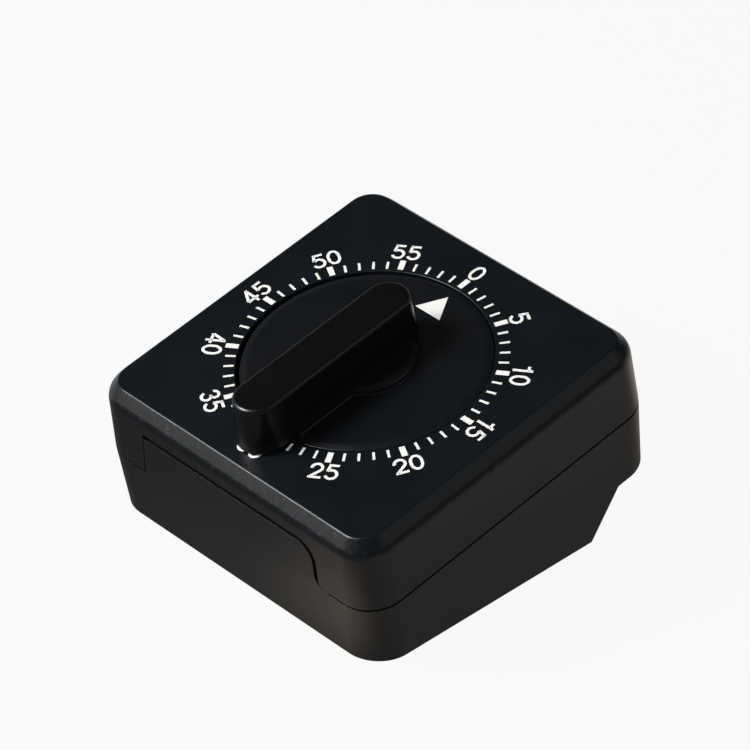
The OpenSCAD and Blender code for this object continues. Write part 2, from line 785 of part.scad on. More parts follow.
// Pinion outline with a gap centred on the angle phase
module pinion_outline(m, phase) {
    p = m * pinion_leaves / 2;
    half = 180 / pinion_leaves * leaf_share;
    root = p - (wheel_addendum + 0.35) * m;
    t = p * sin(half);
    leaf = concat([polar(root, -half), polar(p, -half)],
                  [for (a = [-60:30:60]) [p * cos(half) + t * cos(a), t * sin(a)]],
                  [polar(p, half), polar(root, half)]);
    polygon([for (i = [0:pinion_leaves - 1], q = leaf)
        turned(q, phase + (i + 0.5) * 360 / pinion_leaves)]);
}

// Round windows between the spokes of a wheel
module spoke_windows(inner, outer, count) {
    middle = (inner + outer) / 2;
    window = min((outer - inner) / 2, middle * sin(180 / count)) - level_gap;
    for (i = [0:count - 1]) translate(polar(middle, (i + 0.5) * 360 / count))
        circle(r = window);
}

module great_wheel() placed() color(brass) slab(great_top, great_thickness) difference() {
    wheel_outline(module_1, great_teeth, pinion_pitch_1 / 2, second_angle);
    circle(r = arbor_radius * 0.8 + running_clearance);
    spoke_windows(flange_radius + level_gap,
                  great_pitch - (wheel_dedendum + 1.4 * wheel_rim) * module_1, 6);
}

// An arbor with a pivot at each end and a pinion
module train_arbor_with_pinion(at, m, phase, top, bottom) {
    bar(at, train_arbor, inside_top - level_gap / 2, inside_bottom + level_gap / 2);
    bar(at, pivot_radius, front_plate_top, back_plate_bottom - level_gap / 2);
    translate([at[0], at[1], 0]) slab(top, top - bottom) pinion_outline(m, phase);
}

module train_wheel(at, m, z, g, phase, top) {
    translate([at[0], at[1], 0]) slab(top, wheel_thickness) difference() {
        wheel_outline(m, z, g, phase);
        circle(r = train_arbor * 2 + fit_gap);
        spoke_windows(train_arbor * 3, m * z / 2 - (wheel_dedendum + wheel_rim) * m, 5);
    }
}

// A collet joins a wheel to its arbor
module collet(at, top, thickness) {
    bar(at, train_arbor * 2, top, top - thickness);
}

module second_arbor() placed() color(steel) {
    train_arbor_with_pinion(second_at, module_1, second_angle + 180, great_top + pinion_margin,
                            great_top - great_thickness - pinion_margin);
    collet(second_at, second_top, wheel_thickness);
}
module second_wheel() placed() color(brass)
    train_wheel(second_at, module_2, second_teeth, pinion_pitch_2 / 2, third_angle, second_top);

module third_arbor() placed() color(steel) {
    train_arbor_with_pinion(third_at, module_2, third_angle + 180, second_top + pinion_margin,
                            second_bottom - level_gap / 2);
    collet(third_at, third_top, wheel_thickness);
}
module third_wheel() placed() color(brass)
    train_wheel(third_at, module_3, third_teeth, pinion_pitch_3 / 2, escape_angle, third_top);

// ---------------------------------------------------------------- escapement

module escape_arbor() placed() color(steel) {
    train_arbor_with_pinion(escape_at, module_3, escape_angle + 180, third_top + pinion_margin,
                            third_top - wheel_thickness - pinion_margin);
    collet(escape_at, escape_top, wheel_thickness);
    collet(escape_at, tail_top, arm_thickness);
}

// Pointed teeth; a pin rests a quarter of the pitch from a tooth on either side
module escape_wheel() placed() color(brass)
    translate([escape_at[0], escape_at[1], 0]) slab(escape_top, wheel_thickness) difference() {
        pitch = 360 / escape_teeth;
        root = escape_radius - 1.3;
        tip = 0.9;
        base = 4.5;
        phase = anchor_angle + pallet_span / 2 + pitch / 4;
        polygon([for (i = [0:escape_teeth - 1],
                      p = [[root, -base], [escape_radius, -tip], [escape_radius, tip],
                           [root, base]])
            polar(p[0], phase + i * pitch + p[1])]);
        circle(r = train_arbor * 2 + fit_gap);
        spoke_windows(train_arbor * 2 + level_gap, root - level_gap / 2, 4);
    }

// Four-pointed star that kicks the hammer's tail while the timer rings
module ring_star() placed() color(steel)
    translate([escape_at[0], escape_at[1], 0]) slab(tail_top, arm_thickness) difference() {
        pitch = 360 / star_teeth;
        point = 8;
        polygon([for (i = [0:star_teeth - 1], p = [[star_radius, -point], [star_radius, point],
                                                   [star_root, pitch / 2]])
            polar(p[0], tail_angle + (i + 0.5) * pitch + p[1])]);
        circle(r = train_arbor * 2 + fit_gap);
    }

module anchor_arbor() placed() color(steel) {
    bar(anchor_at, train_arbor, inside_top - level_gap / 2, inside_bottom + level_gap / 2);
    bar(anchor_at, pivot_radius, front_plate_top, back_plate_bottom - level_gap / 2);
}

module anchor() placed() color(steel) {
    pins = [for (s = [-1, 1]) escape_at + polar(pin_circle, anchor_angle + s * pallet_span / 2)];
    slab(anchor_top, anchor_thickness) difference() {
        union() {
            for (p = pins) arm(anchor_at, p, 4 * pallet_pin_radius);
            translate(anchor_at) circle(r = train_arbor + 0.8);
        }
        translate(anchor_at) circle(r = train_arbor + fit_gap / 2);
    }
    for (p = pins) bar(p, pallet_pin_radius, escape_top + level_gap / 4, anchor_top - fine);
}

module balance_weight() placed() color(brass)
    translate([anchor_at[0], anchor_at[1], 0]) slab(weight_top, weight_thickness) difference() {
        circle(r = weight_radius);
        circle(r = train_arbor + fit_gap / 2);
        for (a = [0, 180]) rotate(a + anchor_angle) translate([0, weight_radius * 0.55])
            circle(r = weight_radius * 0.3);
    }

// ---------------------------------------------------------------- striking work

// The notch has a ramp on the side that lifts the nose when the knob is wound
module alarm_cam() placed() color(brass) slab(cam_top, cam_thickness) difference() {
    circle(r = cam_radius);
    circle(r = arbor_radius + fit_gap);
    rotate(nose_angle) polygon([[cam_radius + 1, -nose_radius - 3 * nose_clear],
                                [cam_radius - cam_notch, -nose_radius - 3 * nose_clear],
                                [cam_radius - cam_notch, nose_radius + 3 * nose_clear],
                                [cam_radius + 1, nose_radius + cam_notch * 2]]);
}

module hammer() placed() color(steel) {
    bar(hammer_at, hammer_arbor, front_plate_top, hammer_arm_top - arm_thickness);
    slab(cam_top, arm_thickness) {
        arm(hammer_at, elbow_at, 2 * nose_radius);
        arm(elbow_at, nose_at, 2 * nose_radius);
        translate(hammer_at) circle(r = 2 * hammer_arbor);
    }
    slab(tail_top, arm_thickness) {
        arm(hammer_at, tail_at, 2 * tail_radius);
        translate(hammer_at) circle(r = 2 * hammer_arbor);
    }
    slab(hammer_arm_top, arm_thickness) {
        arm(hammer_at, head_at, 2 * nose_radius);
        translate(hammer_at) circle(r = 2 * hammer_arbor);
    }
    bar(head_at, hammer_head, hammer_arm_top, bell_top - bell_height / 2);
}

// Light coil of round wire about the hammer's arbor, under the tail arm
coil_wire = 0.3;
coil_turns = 4;
coil_sides = 6;
coil_rings_per_turn = 18;
module hammer_spring() placed() color("slategray") {
    r = hammer_arbor + coil_wire + fit_gap;
    pitch = coil_wire * 1.35;
    top = tail_top - arm_thickness - coil_wire / 2 - fit_gap;
    n = coil_turns * coil_rings_per_turn;
    points = [for (i = [0:n], k = [0:coil_sides - 1])
        let (a = i * 360 / coil_rings_per_turn, b = k * 360 / coil_sides,
             q = r + coil_wire / 2 * cos(b))
        [hammer_at[0] + q * cos(a), hammer_at[1] + q * sin(a),
         top - pitch * i / coil_rings_per_turn + coil_wire / 2 * sin(b)]];
    sides = [for (i = [0:n - 1], k = [0:coil_sides - 1])
        let (a = i * coil_sides + k, b = i * coil_sides + (k + 1) % coil_sides)
        [a, b, b + coil_sides, a + coil_sides]];
    caps = [[for (k = [coil_sides - 1:-1:0]) k],
            [for (k = [0:coil_sides - 1]) n * coil_sides + k]];
    polyhedron(points, concat(sides, caps));
}

module bell() placed() color("lightgray") translate([bell_at[0], bell_at[1], 0])
    rotate_extrude($fn = 96) {
        r = bell_radius;
        b = bell_height;
        crown = bell_radius * 0.35;
        w = bell_wall;
        hole = plate_screw_radius + 2 * fit_gap;
        outer = [for (a = [0:10:90]) [crown + (r - crown) * cos(a), bell_top - b * sin(a)]];
        inner = [for (a = [90:-10:0])
            [crown + (r - w - crown) * cos(a), bell_top - (b - w) * sin(a)]];
        polygon(concat(outer, [[hole, bell_top - b], [hole, bell_top - b + w]], inner));
    }

module bell_post() placed() color(steel) difference() {
    union() {
        bar(bell_at, 3 * plate_screw_radius, back_plate_bottom, bell_top - bell_height + bell_wall);
        bar(bell_at, plate_screw_radius + fit_gap, inside_bottom, back_plate_bottom - fine);
    }
    bar(bell_at, plate_screw_radius + fit_gap, back_plate_bottom - wall,
        bell_top - bell_height - fine);
}

module bell_screw() placed() color(steel)
    screw(bell_at, bell_top - bell_height, back_plate_bottom - wall - level_gap,
          plate_screw_radius, 3 * plate_screw_radius, plate_thickness);

// ---------------------------------------------------------------- nodes

front_shell();
rear_shell();
case_screws();
knob();
knob_clip();
main_arbor();
front_plate();
back_plate();
pillars();
plate_screws();
movement_screws();
mainspring();
spring_post();
great_wheel();
clutch_spring();
arbor_clip();
second_arbor();
second_wheel();
third_arbor();
third_wheel();
escape_arbor();
escape_wheel();
ring_star();
anchor();
anchor_arbor();
balance_weight();
alarm_cam();
hammer();
hammer_spring();
bell();
bell_post();
bell_screw();
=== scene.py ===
"""A black wind-up countdown timer: moulded case and knob, printed dial, plated clockwork."""
import json
import math

import bmesh
import bpy
from mathutils import Matrix, Vector


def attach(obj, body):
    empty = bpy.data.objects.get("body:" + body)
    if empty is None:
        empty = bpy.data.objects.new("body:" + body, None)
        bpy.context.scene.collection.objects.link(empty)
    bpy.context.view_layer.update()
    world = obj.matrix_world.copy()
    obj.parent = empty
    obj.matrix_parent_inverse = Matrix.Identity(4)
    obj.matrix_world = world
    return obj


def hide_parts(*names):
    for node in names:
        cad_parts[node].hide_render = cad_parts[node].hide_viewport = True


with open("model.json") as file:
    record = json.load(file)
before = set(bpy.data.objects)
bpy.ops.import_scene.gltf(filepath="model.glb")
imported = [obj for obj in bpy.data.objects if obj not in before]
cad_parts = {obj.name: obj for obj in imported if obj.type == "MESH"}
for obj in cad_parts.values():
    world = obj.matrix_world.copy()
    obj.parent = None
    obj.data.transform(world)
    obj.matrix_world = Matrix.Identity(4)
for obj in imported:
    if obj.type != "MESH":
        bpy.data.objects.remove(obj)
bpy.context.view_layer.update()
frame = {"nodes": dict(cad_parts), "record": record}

# ---------------------------------------------------------------- sizes
# Pieces are modelled in millimetres in the dial frame: the dial centre on the face is the
# origin, +Y points to the zero mark and +Z points out of the face. place() turns them into
# the metres of the frame.

MM = 0.001
DIAL_TILT = math.radians(11.5)

CASE_WIDTH = 70.4
CASE_HEIGHT = 71
HALF_W = CASE_WIDTH / 2
HALF_H = CASE_HEIGHT / 2
CORNER = 6.6
WALL = 2
BEVEL_WIDTH = 2.2
BEVEL_DEPTH = 2.6
FACE_CREASE = 0.25                      # rounding where the face meets its bevel
SHOULDER_CREASE = 1.0                   # rounding where the bevel meets the wall
PARTING = 15.2
FRONT_DRAFT = math.radians(2.3)
SPREAD = (PARTING - BEVEL_DEPTH) * math.tan(FRONT_DRAFT)    # of the walls at the parting line
LAND = 0.3                              # height of the upright land above the parting line
SEAM = 0.3
OPENING = 0.35                          # height of the parting line
LIP_EDGE = 0.15                         # rounding of the front's foot
RIM_EDGE = 0.06                         # rounding of the rear's rim and of the tongue
TONGUE_TOP = 6.45
TONGUE_LEFT = 22.3
TONGUE_RIGHT = 21.3
TONGUE_SLANT = 0.9
TONGUE_GAP = 0.95                       # along its top and right end
TONGUE_SKIN = 0.08                      # thickness of its rim, behind which it is set back
TONGUE_STEP = 0.9
TONGUE_ROUND = 3.5
TONGUE_FLARE = 2.5
LIP_HEIGHT = 2.4
LIP_WALL = 0.9
GROOVE_SKIN = 0.07                      # what stays of the rear's rim outside its groove
GROOVE_WIDTH = 0.8
GROOVE_DEPTH = 0.7

LOW_DEPTH = 28.5
BASE_LENGTH = 54.9
STRIP_DEPTH = 30.5
CUTBACK = math.radians(50)
SIDE_DRAFT = math.radians(3.9)
REAR_EDGE = 3
HEEL_Y = -HALF_H + BASE_LENGTH * math.cos(DIAL_TILT)
HEEL_Z = -LOW_DEPTH - BASE_LENGTH * math.sin(DIAL_TILT)
CUTBACK_Y = HEEL_Y + (-STRIP_DEPTH - HEEL_Z) / math.tan(CUTBACK)

# Place of the dial centre in the frame, whose base is at z = 0
DIAL_CENTRE = Vector((0, -3.2986, 35.0054))

DISC_RADIUS = 23.1
DISC_RIM = 1.4                          # width of the sloped ring round the disc
DISC_RIM_DROP = 0.35
DISC_EDGE = 0.2
DISC_THICKNESS = 2.2
SKIRT_DEPTH = 3.1
SKIRT_WALL = 1.6
DISC_GAP = 0.42
RECESS_SHIFT = (-0.17, -0.19)           # the knob sits a little off the recess's middle
RECESS_DEPTH = 4
RECESS_EDGE = 0.16
HUB_RADIUS = 9.3
HUB_HEIGHT = 1.5
HUB_SLOPE = 1                           # width of its sloped edge, which drops by half that
HANDLE_WIDTH = 8.5
HANDLE_HEIGHT = 10.5
HANDLE_FRONT = 11
HANDLE_BACK = 30
HANDLE_DRAFT = math.radians(2.8)
HANDLE_EDGE = 0.8
HANDLE_FOOT = 0.15                      # small slope where it stands on the disc
HANDLE_CLEARANCE = 0.5                  # between its overhanging end and the face
KNOB_CREASE = 0.3                       # rounding of the disc's and the hub's shallow edges
BORE_PLAY = 0.05                        # between the knob's bore and the arbor

ARBOR_RADIUS = 3
ARBOR_FLAT = 0.9
ARBOR_END = 5.4
ARBOR_HOLE_PLAY = 0.2
LEAF = 0.4
BOSS_RADIUS = 2.8
BOSS_CIRCLE = 29.5
SEAT_LEVEL = -RECESS_DEPTH - WALL - 2   # where the movement's front plate sits
SCREW_X = HALF_W - 7.5
SCREW_Y = HALF_H - 7.5
POST_RADIUS = 2.8
TUBE_RADIUS = 3.6
SCREW_WELL = 2.5
SCREW_SEAT = -22
MOVEMENT_SCREW_HOLE = 1.05
CASE_SCREW_HOLE = 1.3                   # in the front's posts
CASE_SCREW_PASSAGE = 1.35               # in the rear's tubes
SLOT_COUNT = 5
SLOT_WIDTH = 1.6
SLOT_LENGTH = 18
SLOT_PITCH = 4

INK = 0.035                             # how far the print stands above the plastic
INK_ROOT = 0.02                         # how far it reaches into the plastic
PRINT_TURN = math.radians(0.58)         # the pad set the print down slightly turned
NEAR = 0.001                            # how near a point has to be to count as on a level
DEEP = -60                              # a level below the whole timer
CORNER_STEPS = 14


# ---------------------------------------------------------------- modelling tools

def only(piece):
    """Selects one piece and makes it the active one."""
    bpy.ops.object.select_all(action="DESELECT")
    piece.select_set(True)
    bpy.context.view_layer.objects.active = piece


def named(name):
    """Names the piece that was just added and applies its place, turn and size."""
    piece = bpy.context.active_object
    piece.name = name
    piece.data.name = name
    bpy.ops.object.transform_apply(location=True, rotation=True, scale=True)
    return piece


def block(name, low, high):
    """A cuboid between two corners."""
    bpy.ops.object.select_all(action="DESELECT")
    middle = [(a + b) / 2 for a, b in zip(low, high)]
    size = [b - a for a, b in zip(low, high)]
    bpy.ops.mesh.primitive_cube_add(size=1, location=middle, scale=size)
    return named(name)


def bar(name, at, radius, top, bottom, sides=64):
    """A round bar along Z between two levels."""
    bpy.ops.object.select_all(action="DESELECT")
    bpy.ops.mesh.primitive_cylinder_add(vertices=sides, radius=radius, depth=top - bottom,
                                        location=(at[0], at[1], (top + bottom) / 2))
    return named(name)


def capsule(name, radius, front, back, top, bottom, sides=64):
    """An upright bar with two round ends and straight sides along Y."""
    bpy.ops.object.select_all(action="DESELECT")
    step = math.pi / sides
    bpy.ops.mesh.primitive_cylinder_add(vertices=sides, radius=radius / math.cos(step),
                                        depth=top - bottom, rotation=(0, 0, step),
                                        location=(0, front - radius, (top + bottom) / 2))
    piece = named(name)
    edit()
    pick(piece, "VERT", lambda part, corners: part.co.y < front - radius)
    bpy.ops.transform.translate(value=(0, back - front + 2 * radius, 0))
    leave()
    return piece


def pick(piece, kind, test):
    """In edit mode, selects the vertices, edges or faces whose corners pass the test."""
    bpy.ops.mesh.select_mode(type=kind)
    bpy.ops.mesh.select_all(action="DESELECT")
    mesh = bmesh.from_edit_mesh(piece.data)
    parts = {"VERT": mesh.verts, "EDGE": mesh.edges, "FACE": mesh.faces}[kind]
    for part in parts:
        corners = [part.co] if kind == "VERT" else [v.co for v in part.verts]
        if test(part, corners):
            part.select_set(True)
    mesh.select_flush_mode()
    bmesh.update_edit_mesh(piece.data)


def all_at(axis, level):
    """A test: every corner lies at that level of the axis."""
    return lambda part, corners: all(abs(c[axis] - level) < NEAR for c in corners)


def facing(axis, sign):
    """A test: the face looks along that axis."""
    return lambda part, corners: part.normal[axis] * sign > 0.99


def upright(part, corners):
    """A test: the edge runs from one level to another."""
    return abs(corners[0].z - corners[1].z) > NEAR and (
        abs(corners[0].y - corners[1].y) < NEAR * 10)


def round_edges(width, steps):
    """Rounds the selected edges."""
    bpy.ops.mesh.bevel(offset=width, offset_type="OFFSET", segments=steps, affect="EDGES",
                       clamp_overlap=False)


def edit():
    bpy.ops.object.mode_set(mode="EDIT")


def leave():
    bpy.ops.object.mode_set(mode="OBJECT")


def combine(piece, tool, how="DIFFERENCE"):
    """Cuts the tool out of the piece, joins it on, or keeps what both share."""
    only(piece)
    bpy.ops.object.modifier_add(type="BOOLEAN")
    cutter = piece.modifiers[-1]
    cutter.operation = how
    cutter.solver = "EXACT"
    cutter.object = tool
    bpy.ops.object.modifier_apply(modifier=cutter.name)
    bpy.data.objects.remove(tool)
    return piece


def join(name, pieces):
    """Makes several pieces one object."""
    only(pieces[0])
    for piece in pieces:
        piece.select_set(True)
    bpy.ops.object.join()
    return named(name)


def place(piece, body, material, smooth=38):
    """Leans the piece back with the dial, in metres, shades it and hangs it on its body."""
    only(piece)
    piece.scale = (MM, MM, MM)
    piece.rotation_euler = (DIAL_TILT, 0, 0)
    piece.location = [c * MM for c in DIAL_CENTRE]
    bpy.ops.object.transform_apply(location=True, rotation=True, scale=True)
    bpy.ops.object.shade_smooth_by_angle(angle=math.radians(smooth))
    bpy.ops.object.modifier_add(type="WEIGHTED_NORMAL")
    weighted = piece.modifiers[-1]
    weighted.keep_sharp = True
    weighted.weight = 80
    bpy.ops.object.modifier_apply(modifier=weighted.name)
    piece.data.materials.clear()
    piece.data.materials.append(material)
    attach(piece, body)
    return piece


# ---------------------------------------------------------------- materials

def colour(code):
    """A hex colour, as a screen shows it, in the linear values that a shader takes."""
    parts = [int(code[i:i + 2], 16) / 255 for i in (1, 3, 5)]
    return [p / 12.92 if p <= 0.04045 else ((p + 0.055) / 1.055) ** 2.4 for p in parts] + [1]


def add(tree, kind, settings=None, inputs=None):
    """Adds a node; an input is a value, or a node and the name of its output to link."""
    node = tree.nodes.new(kind)
    for key, value in (settings or {}).items():
        setattr(node, key, value)
    for key, value in (inputs or {}).items():
        if isinstance(value, tuple) and isinstance(value[0], bpy.types.Node):
            tree.links.new(value[0].outputs[value[1]], node.inputs[key])
        else:
            node.inputs[key].default_value = value
    return node


def material(name):
    made = bpy.data.materials.new(name)
    made.use_nodes = True
    made.node_tree.nodes.clear()
    return made


def per_mm(size):
    """Scale of a pattern whose features are this many millimetres across."""
    return 1 / (size * MM)


SOFT = {"interpolation_type": "SMOOTHSTEP"}      # a ramp that starts and ends gently


# Levels in millimetres over the dial's face, in pairs between which a finish comes or goes
SCUFF_LIGHT_FOOT = (-2.9, -2.0)
SCUFF_LIGHT_TOP = (-0.3, -0.05)
FINGER_SKIN = (1.5, 3)
POLISH_START = (9.6, 9.9)
POLISH_END = (10.38, 10.47)
LOW_SIDE_Y = (-35.8, -35.0)             # in the frame's Y: the pale specks, scuffs and painted light, stay at the low side

PLASTIC_SPECULAR = 0.5
FINGER_SPECULAR = 0.28
POLISH = 0.4                            # what the polished edge adds to that


def moulded_abs(name, dark, light, smooth, rough, grain, handled=False):
    """Black ABS from a polished, lightly eroded mould: deep black with a soft sheen, a fine
    grain that breaks up highlights, and dull rubs from handling. What stands over
    the dial of a handled piece is blacker and less shiny, from the skin of fingers. On any
    other piece the bevel along the low side gets pale specks: scuffs from knocks, and also
    painted light that brightens this bevel, which faces the light."""
    made = material(name)
    t = made.node_tree
    where = add(t, "ShaderNodeTexCoord")
    # cloudy patches about 9 mm across, from uneven filling of the mould
    cloud = add(t, "ShaderNodeTexNoise", None, {
        "Vector": (where, "Object"), "Scale": per_mm(9), "Detail": 3, "Roughness": 0.5})
    tone = add(t, "ShaderNodeMix", {"data_type": "RGBA"}, {
        0: (cloud, "Fac"), 6: colour(dark), 7: colour(light)})
    # grain of 0.3 mm, a little coarser than the real one so that it shows
    fine = add(t, "ShaderNodeTexNoise", None, {
        "Vector": (where, "Object"), "Scale": per_mm(0.3), "Detail": 2, "Roughness": 0.6})
    # rubs: streaks about 0.7 mm wide and some 6 mm long
    along = add(t, "ShaderNodeMapping", None, {
        "Vector": (where, "Object"), "Scale": (0.12, 1, 1), "Rotation": (0, 0, 0.5)})
    streak = add(t, "ShaderNodeTexNoise", None, {
        "Vector": (along, "Vector"), "Scale": per_mm(0.7), "Detail": 2, "Roughness": 0.5})
    rub = add(t, "ShaderNodeMapRange", {"clamp": True}, {
        "Value": (streak, "Fac"), "From Min": 0.62, "From Max": 0.75, "To Min": 0, "To Max": 1})
    rough_cloud = add(t, "ShaderNodeMapRange", None, {
        "Value": (cloud, "Fac"), "From Min": 0.3, "From Max": 0.7,
        "To Min": smooth, "To Max": rough})
    rough_all = add(t, "ShaderNodeMath", {"operation": "MULTIPLY_ADD", "use_clamp": True}, {
        0: (rub, "Result"), 1: 0.07, 2: (rough_cloud, "Result")})
    relief = add(t, "ShaderNodeBump", None, {
        "Height": (fine, "Fac"), "Strength": grain, "Distance": 0.02 * MM})
    skin = add(t, "ShaderNodeBsdfPrincipled", None, {
        "Base Color": (tone, 2), "Roughness": (rough_all, "Value"),
        "Normal": (relief, "Normal"), "IOR": 1.5})
    outward = (0, -math.sin(DIAL_TILT), math.cos(DIAL_TILT))
    face = DIAL_CENTRE.dot(outward)
    level = add(t, "ShaderNodeVectorMath", {"operation": "DOT_PRODUCT"}, {
        0: (where, "Object"), 1: outward})
    if not handled:
        places = add(t, "ShaderNodeSeparateXYZ", None, {"Vector": (where, "Object")})
        above = add(t, "ShaderNodeMapRange", SOFT, {
            "Value": (level, "Value"), "From Min": (face + SCUFF_LIGHT_FOOT[0]) * MM,
            "From Max": (face + SCUFF_LIGHT_FOOT[1]) * MM})
        below = add(t, "ShaderNodeMapRange", SOFT, {
            "Value": (level, "Value"), "From Min": (face + SCUFF_LIGHT_TOP[0]) * MM,
            "From Max": (face + SCUFF_LIGHT_TOP[1]) * MM, "To Min": 1, "To Max": 0})
        low_side = add(t, "ShaderNodeMapRange", SOFT, {
            "Value": (places, "Y"), "From Min": LOW_SIDE_Y[0] * MM,
            "From Max": LOW_SIDE_Y[1] * MM, "To Min": 1, "To Max": 0})
        # specks of less than 0.8 mm
        speck = add(t, "ShaderNodeTexNoise", None, {
            "Vector": (where, "Object"), "Scale": per_mm(0.8), "Detail": 3, "Roughness": 0.7})
        chip = add(t, "ShaderNodeMapRange", SOFT, {
            "Value": (speck, "Fac"), "From Min": 0.5, "From Max": 0.72})
        # pale specks along the low-side bevel: scuffs from knocks, and painted light that
        # brightens this lit bevel
        scuff_and_painted_light = above
        for limit in (below, low_side, chip):
            scuff_and_painted_light = add(t, "ShaderNodeMath", {"operation": "MULTIPLY"}, {
                0: (scuff_and_painted_light, 0), 1: (limit, 0)})
        # mixes in the pale specks: scuffs and painted light on the low-side bevel
        pale = add(t, "ShaderNodeMix", {"data_type": "RGBA"}, {
            0: (scuff_and_painted_light, "Value"), 6: (tone, 2), 7: colour("#2a2c30")})
        t.links.new(pale.outputs[2], skin.inputs["Base Color"])
    if handled:
        worn = add(t, "ShaderNodeMapRange", SOFT, {
            "Value": (level, "Value"), "From Min": (face + FINGER_SKIN[0]) * MM,
            "From Max": (face + FINGER_SKIN[1]) * MM})
        darker = add(t, "ShaderNodeMix", {"data_type": "RGBA"}, {
            0: (worn, "Result"), 6: (tone, 2), 7: colour("#08090b")})
        duller = add(t, "ShaderNodeMapRange", None, {
            "Value": (worn, "Result"), "To Min": PLASTIC_SPECULAR, "To Max": FINGER_SPECULAR})
        # the handle's top edge is polished by the fingers that turn it
        rising = add(t, "ShaderNodeMapRange", SOFT, {
            "Value": (level, "Value"), "From Min": (face + POLISH_START[0]) * MM,
            "From Max": (face + POLISH_START[1]) * MM, "To Min": 0, "To Max": POLISH})
        ending = add(t, "ShaderNodeMapRange", SOFT, {
            "Value": (level, "Value"), "From Min": (face + POLISH_END[0]) * MM,
            "From Max": (face + POLISH_END[1]) * MM, "To Min": 1, "To Max": 0})
        polished = add(t, "ShaderNodeMath", {"operation": "MULTIPLY_ADD"}, {
            0: (rising, "Result"), 1: (ending, "Result"), 2: (duller, "Result")})
        t.links.new(darker.outputs[2], skin.inputs["Base Color"])
        t.links.new(polished.outputs["Value"], skin.inputs["Specular IOR Level"])
    add(t, "ShaderNodeOutputMaterial", None, {"Surface": (skin, "BSDF")})
    return made


def pad_print_ink():
    """White two-part pad-printing ink: a flat, slightly chalky white film."""
    made = material("white pad-printing ink")
    t = made.node_tree
    where = add(t, "ShaderNodeTexCoord")
    # thin places about 0.4 mm across, where the pad left less ink
    thin = add(t, "ShaderNodeTexNoise", None, {
        "Vector": (where, "Object"), "Scale": per_mm(0.4), "Detail": 2})
    tone = add(t, "ShaderNodeMix", {"data_type": "RGBA"}, {
        0: (thin, "Fac"), 6: colour("#f5f3ef"), 7: colour("#edecea")})
    film = add(t, "ShaderNodeBsdfPrincipled", None, {
        "Base Color": (tone, 2), "Roughness": 0.55, "IOR": 1.48})
    add(t, "ShaderNodeOutputMaterial", None, {"Surface": (film, "BSDF")})
    return made


def metal(name, pale, deep, smooth, rough, lines, across):
    """A metal whose tone and gloss vary along fine machining or rolling lines."""
    made = material(name)
    t = made.node_tree
    where = add(t, "ShaderNodeTexCoord")
    along = add(t, "ShaderNodeMapping", None, {
        "Vector": (where, "Object"), "Scale": (1, across, 1)})
    mark = add(t, "ShaderNodeTexNoise", None, {
        "Vector": (along, "Vector"), "Scale": per_mm(lines), "Detail": 3})
    patch = add(t, "ShaderNodeTexNoise", None, {
        "Vector": (where, "Object"), "Scale": per_mm(4), "Detail": 2})
    tone = add(t, "ShaderNodeMix", {"data_type": "RGBA"}, {
        0: (patch, "Fac"), 6: colour(pale), 7: colour(deep)})
    gloss = add(t, "ShaderNodeMapRange", None, {
        "Value": (mark, "Fac"), "From Min": 0.3, "From Max": 0.7,
        "To Min": smooth, "To Max": rough})
    relief = add(t, "ShaderNodeBump", None, {
        "Height": (mark, "Fac"), "Strength": 0.15, "Distance": 0.01 * MM})
    body = add(t, "ShaderNodeBsdfPrincipled", None, {
        "Base Color": (tone, 2), "Metallic": 1.0, "Roughness": (gloss, "Result"),
        "Normal": (relief, "Normal")})
    add(t, "ShaderNodeOutputMaterial", None, {"Surface": (body, "BSDF")})
    return made


case_plastic = moulded_abs("black ABS, case", "#0a0e11", "#0e1215", 0.30, 0.36, 0.35)
knob_plastic = moulded_abs("black ABS, knob", "#0a0d10", "#0d1013", 0.30, 0.36, 0.25, True)
ink = pad_print_ink()

# Movement plates and wheels: rolled clock brass, brushed along the strip, warm yellow
clock_brass = metal("brushed clock brass", "#d8b56a", "#c49a4c", 0.22, 0.36, 0.12, 8)
# Arbors, pillars and levers: turned silver steel, cool grey with fine lathe lines
turned_steel = metal("turned silver steel", "#b9bcc0", "#a2a6aa", 0.2, 0.34, 0.1, 1)
# Mainspring and clips: hardened and blued spring strip, a dark blue-grey temper colour
blued_spring = metal("blued spring steel", "#4a5668", "#3a4250", 0.22, 0.36, 0.15, 6)
# Screws: bright zinc plate, pale and slightly blue with a grainy crystal finish
zinc_plate = metal("bright zinc plate", "#c9ced4", "#b4bac2", 0.28, 0.42, 0.25, 1)
# Bell: pressed steel with nickel plate, a warm near-white with soft pressing lines
nickel_plate = metal("nickel-plated bell steel", "#cfcac0", "#bfb9ad", 0.14, 0.24, 0.3, 3)

CARRIED = {
    "movement_steel": turned_steel,
    "spring_steel": blued_spring,
    "brass": clock_brass,
    "zinc_screws": zinc_plate,
    "bell_steel": nickel_plate,
}
slot_nodes = {m["slot"]: m.get("nodes", []) for m in frame["record"]["materials"]}
for slot_name, finish in CARRIED.items():
    for node_name in slot_nodes[slot_name]:
        carried = frame["nodes"][node_name]
        carried.data.materials.clear()
        carried.data.materials.append(finish)


# ---------------------------------------------------------------- front cover

def rounded_block(name, low, high, corner, steps):
    """A cuboid with its four upright edges rounded."""
    piece = block(name, low, high)
    edit()
    pick(piece, "EDGE", upright)
    round_edges(corner, steps)
    leave()
    return piece


def bevelled_box(name, inset, bottom):
    """The front's block, drafted towards its face and bevelled round it, drawn in by inset."""
    shoulder = -BEVEL_DEPTH - inset / 2
    x = HALF_W + SPREAD - inset
    y = HALF_H + SPREAD - inset
    land = -PARTING + LAND
    piece = rounded_block(name, (-x, -y, bottom), (x, y, land), CORNER + SPREAD - inset,
                          CORNER_STEPS)
    edit()
    pick(piece, "FACE", facing(2, 1))
    bpy.ops.mesh.inset(thickness=SPREAD, depth=shoulder - land)
    bpy.ops.mesh.inset(thickness=BEVEL_WIDTH, depth=-inset - shoulder)
    leave()
    return piece


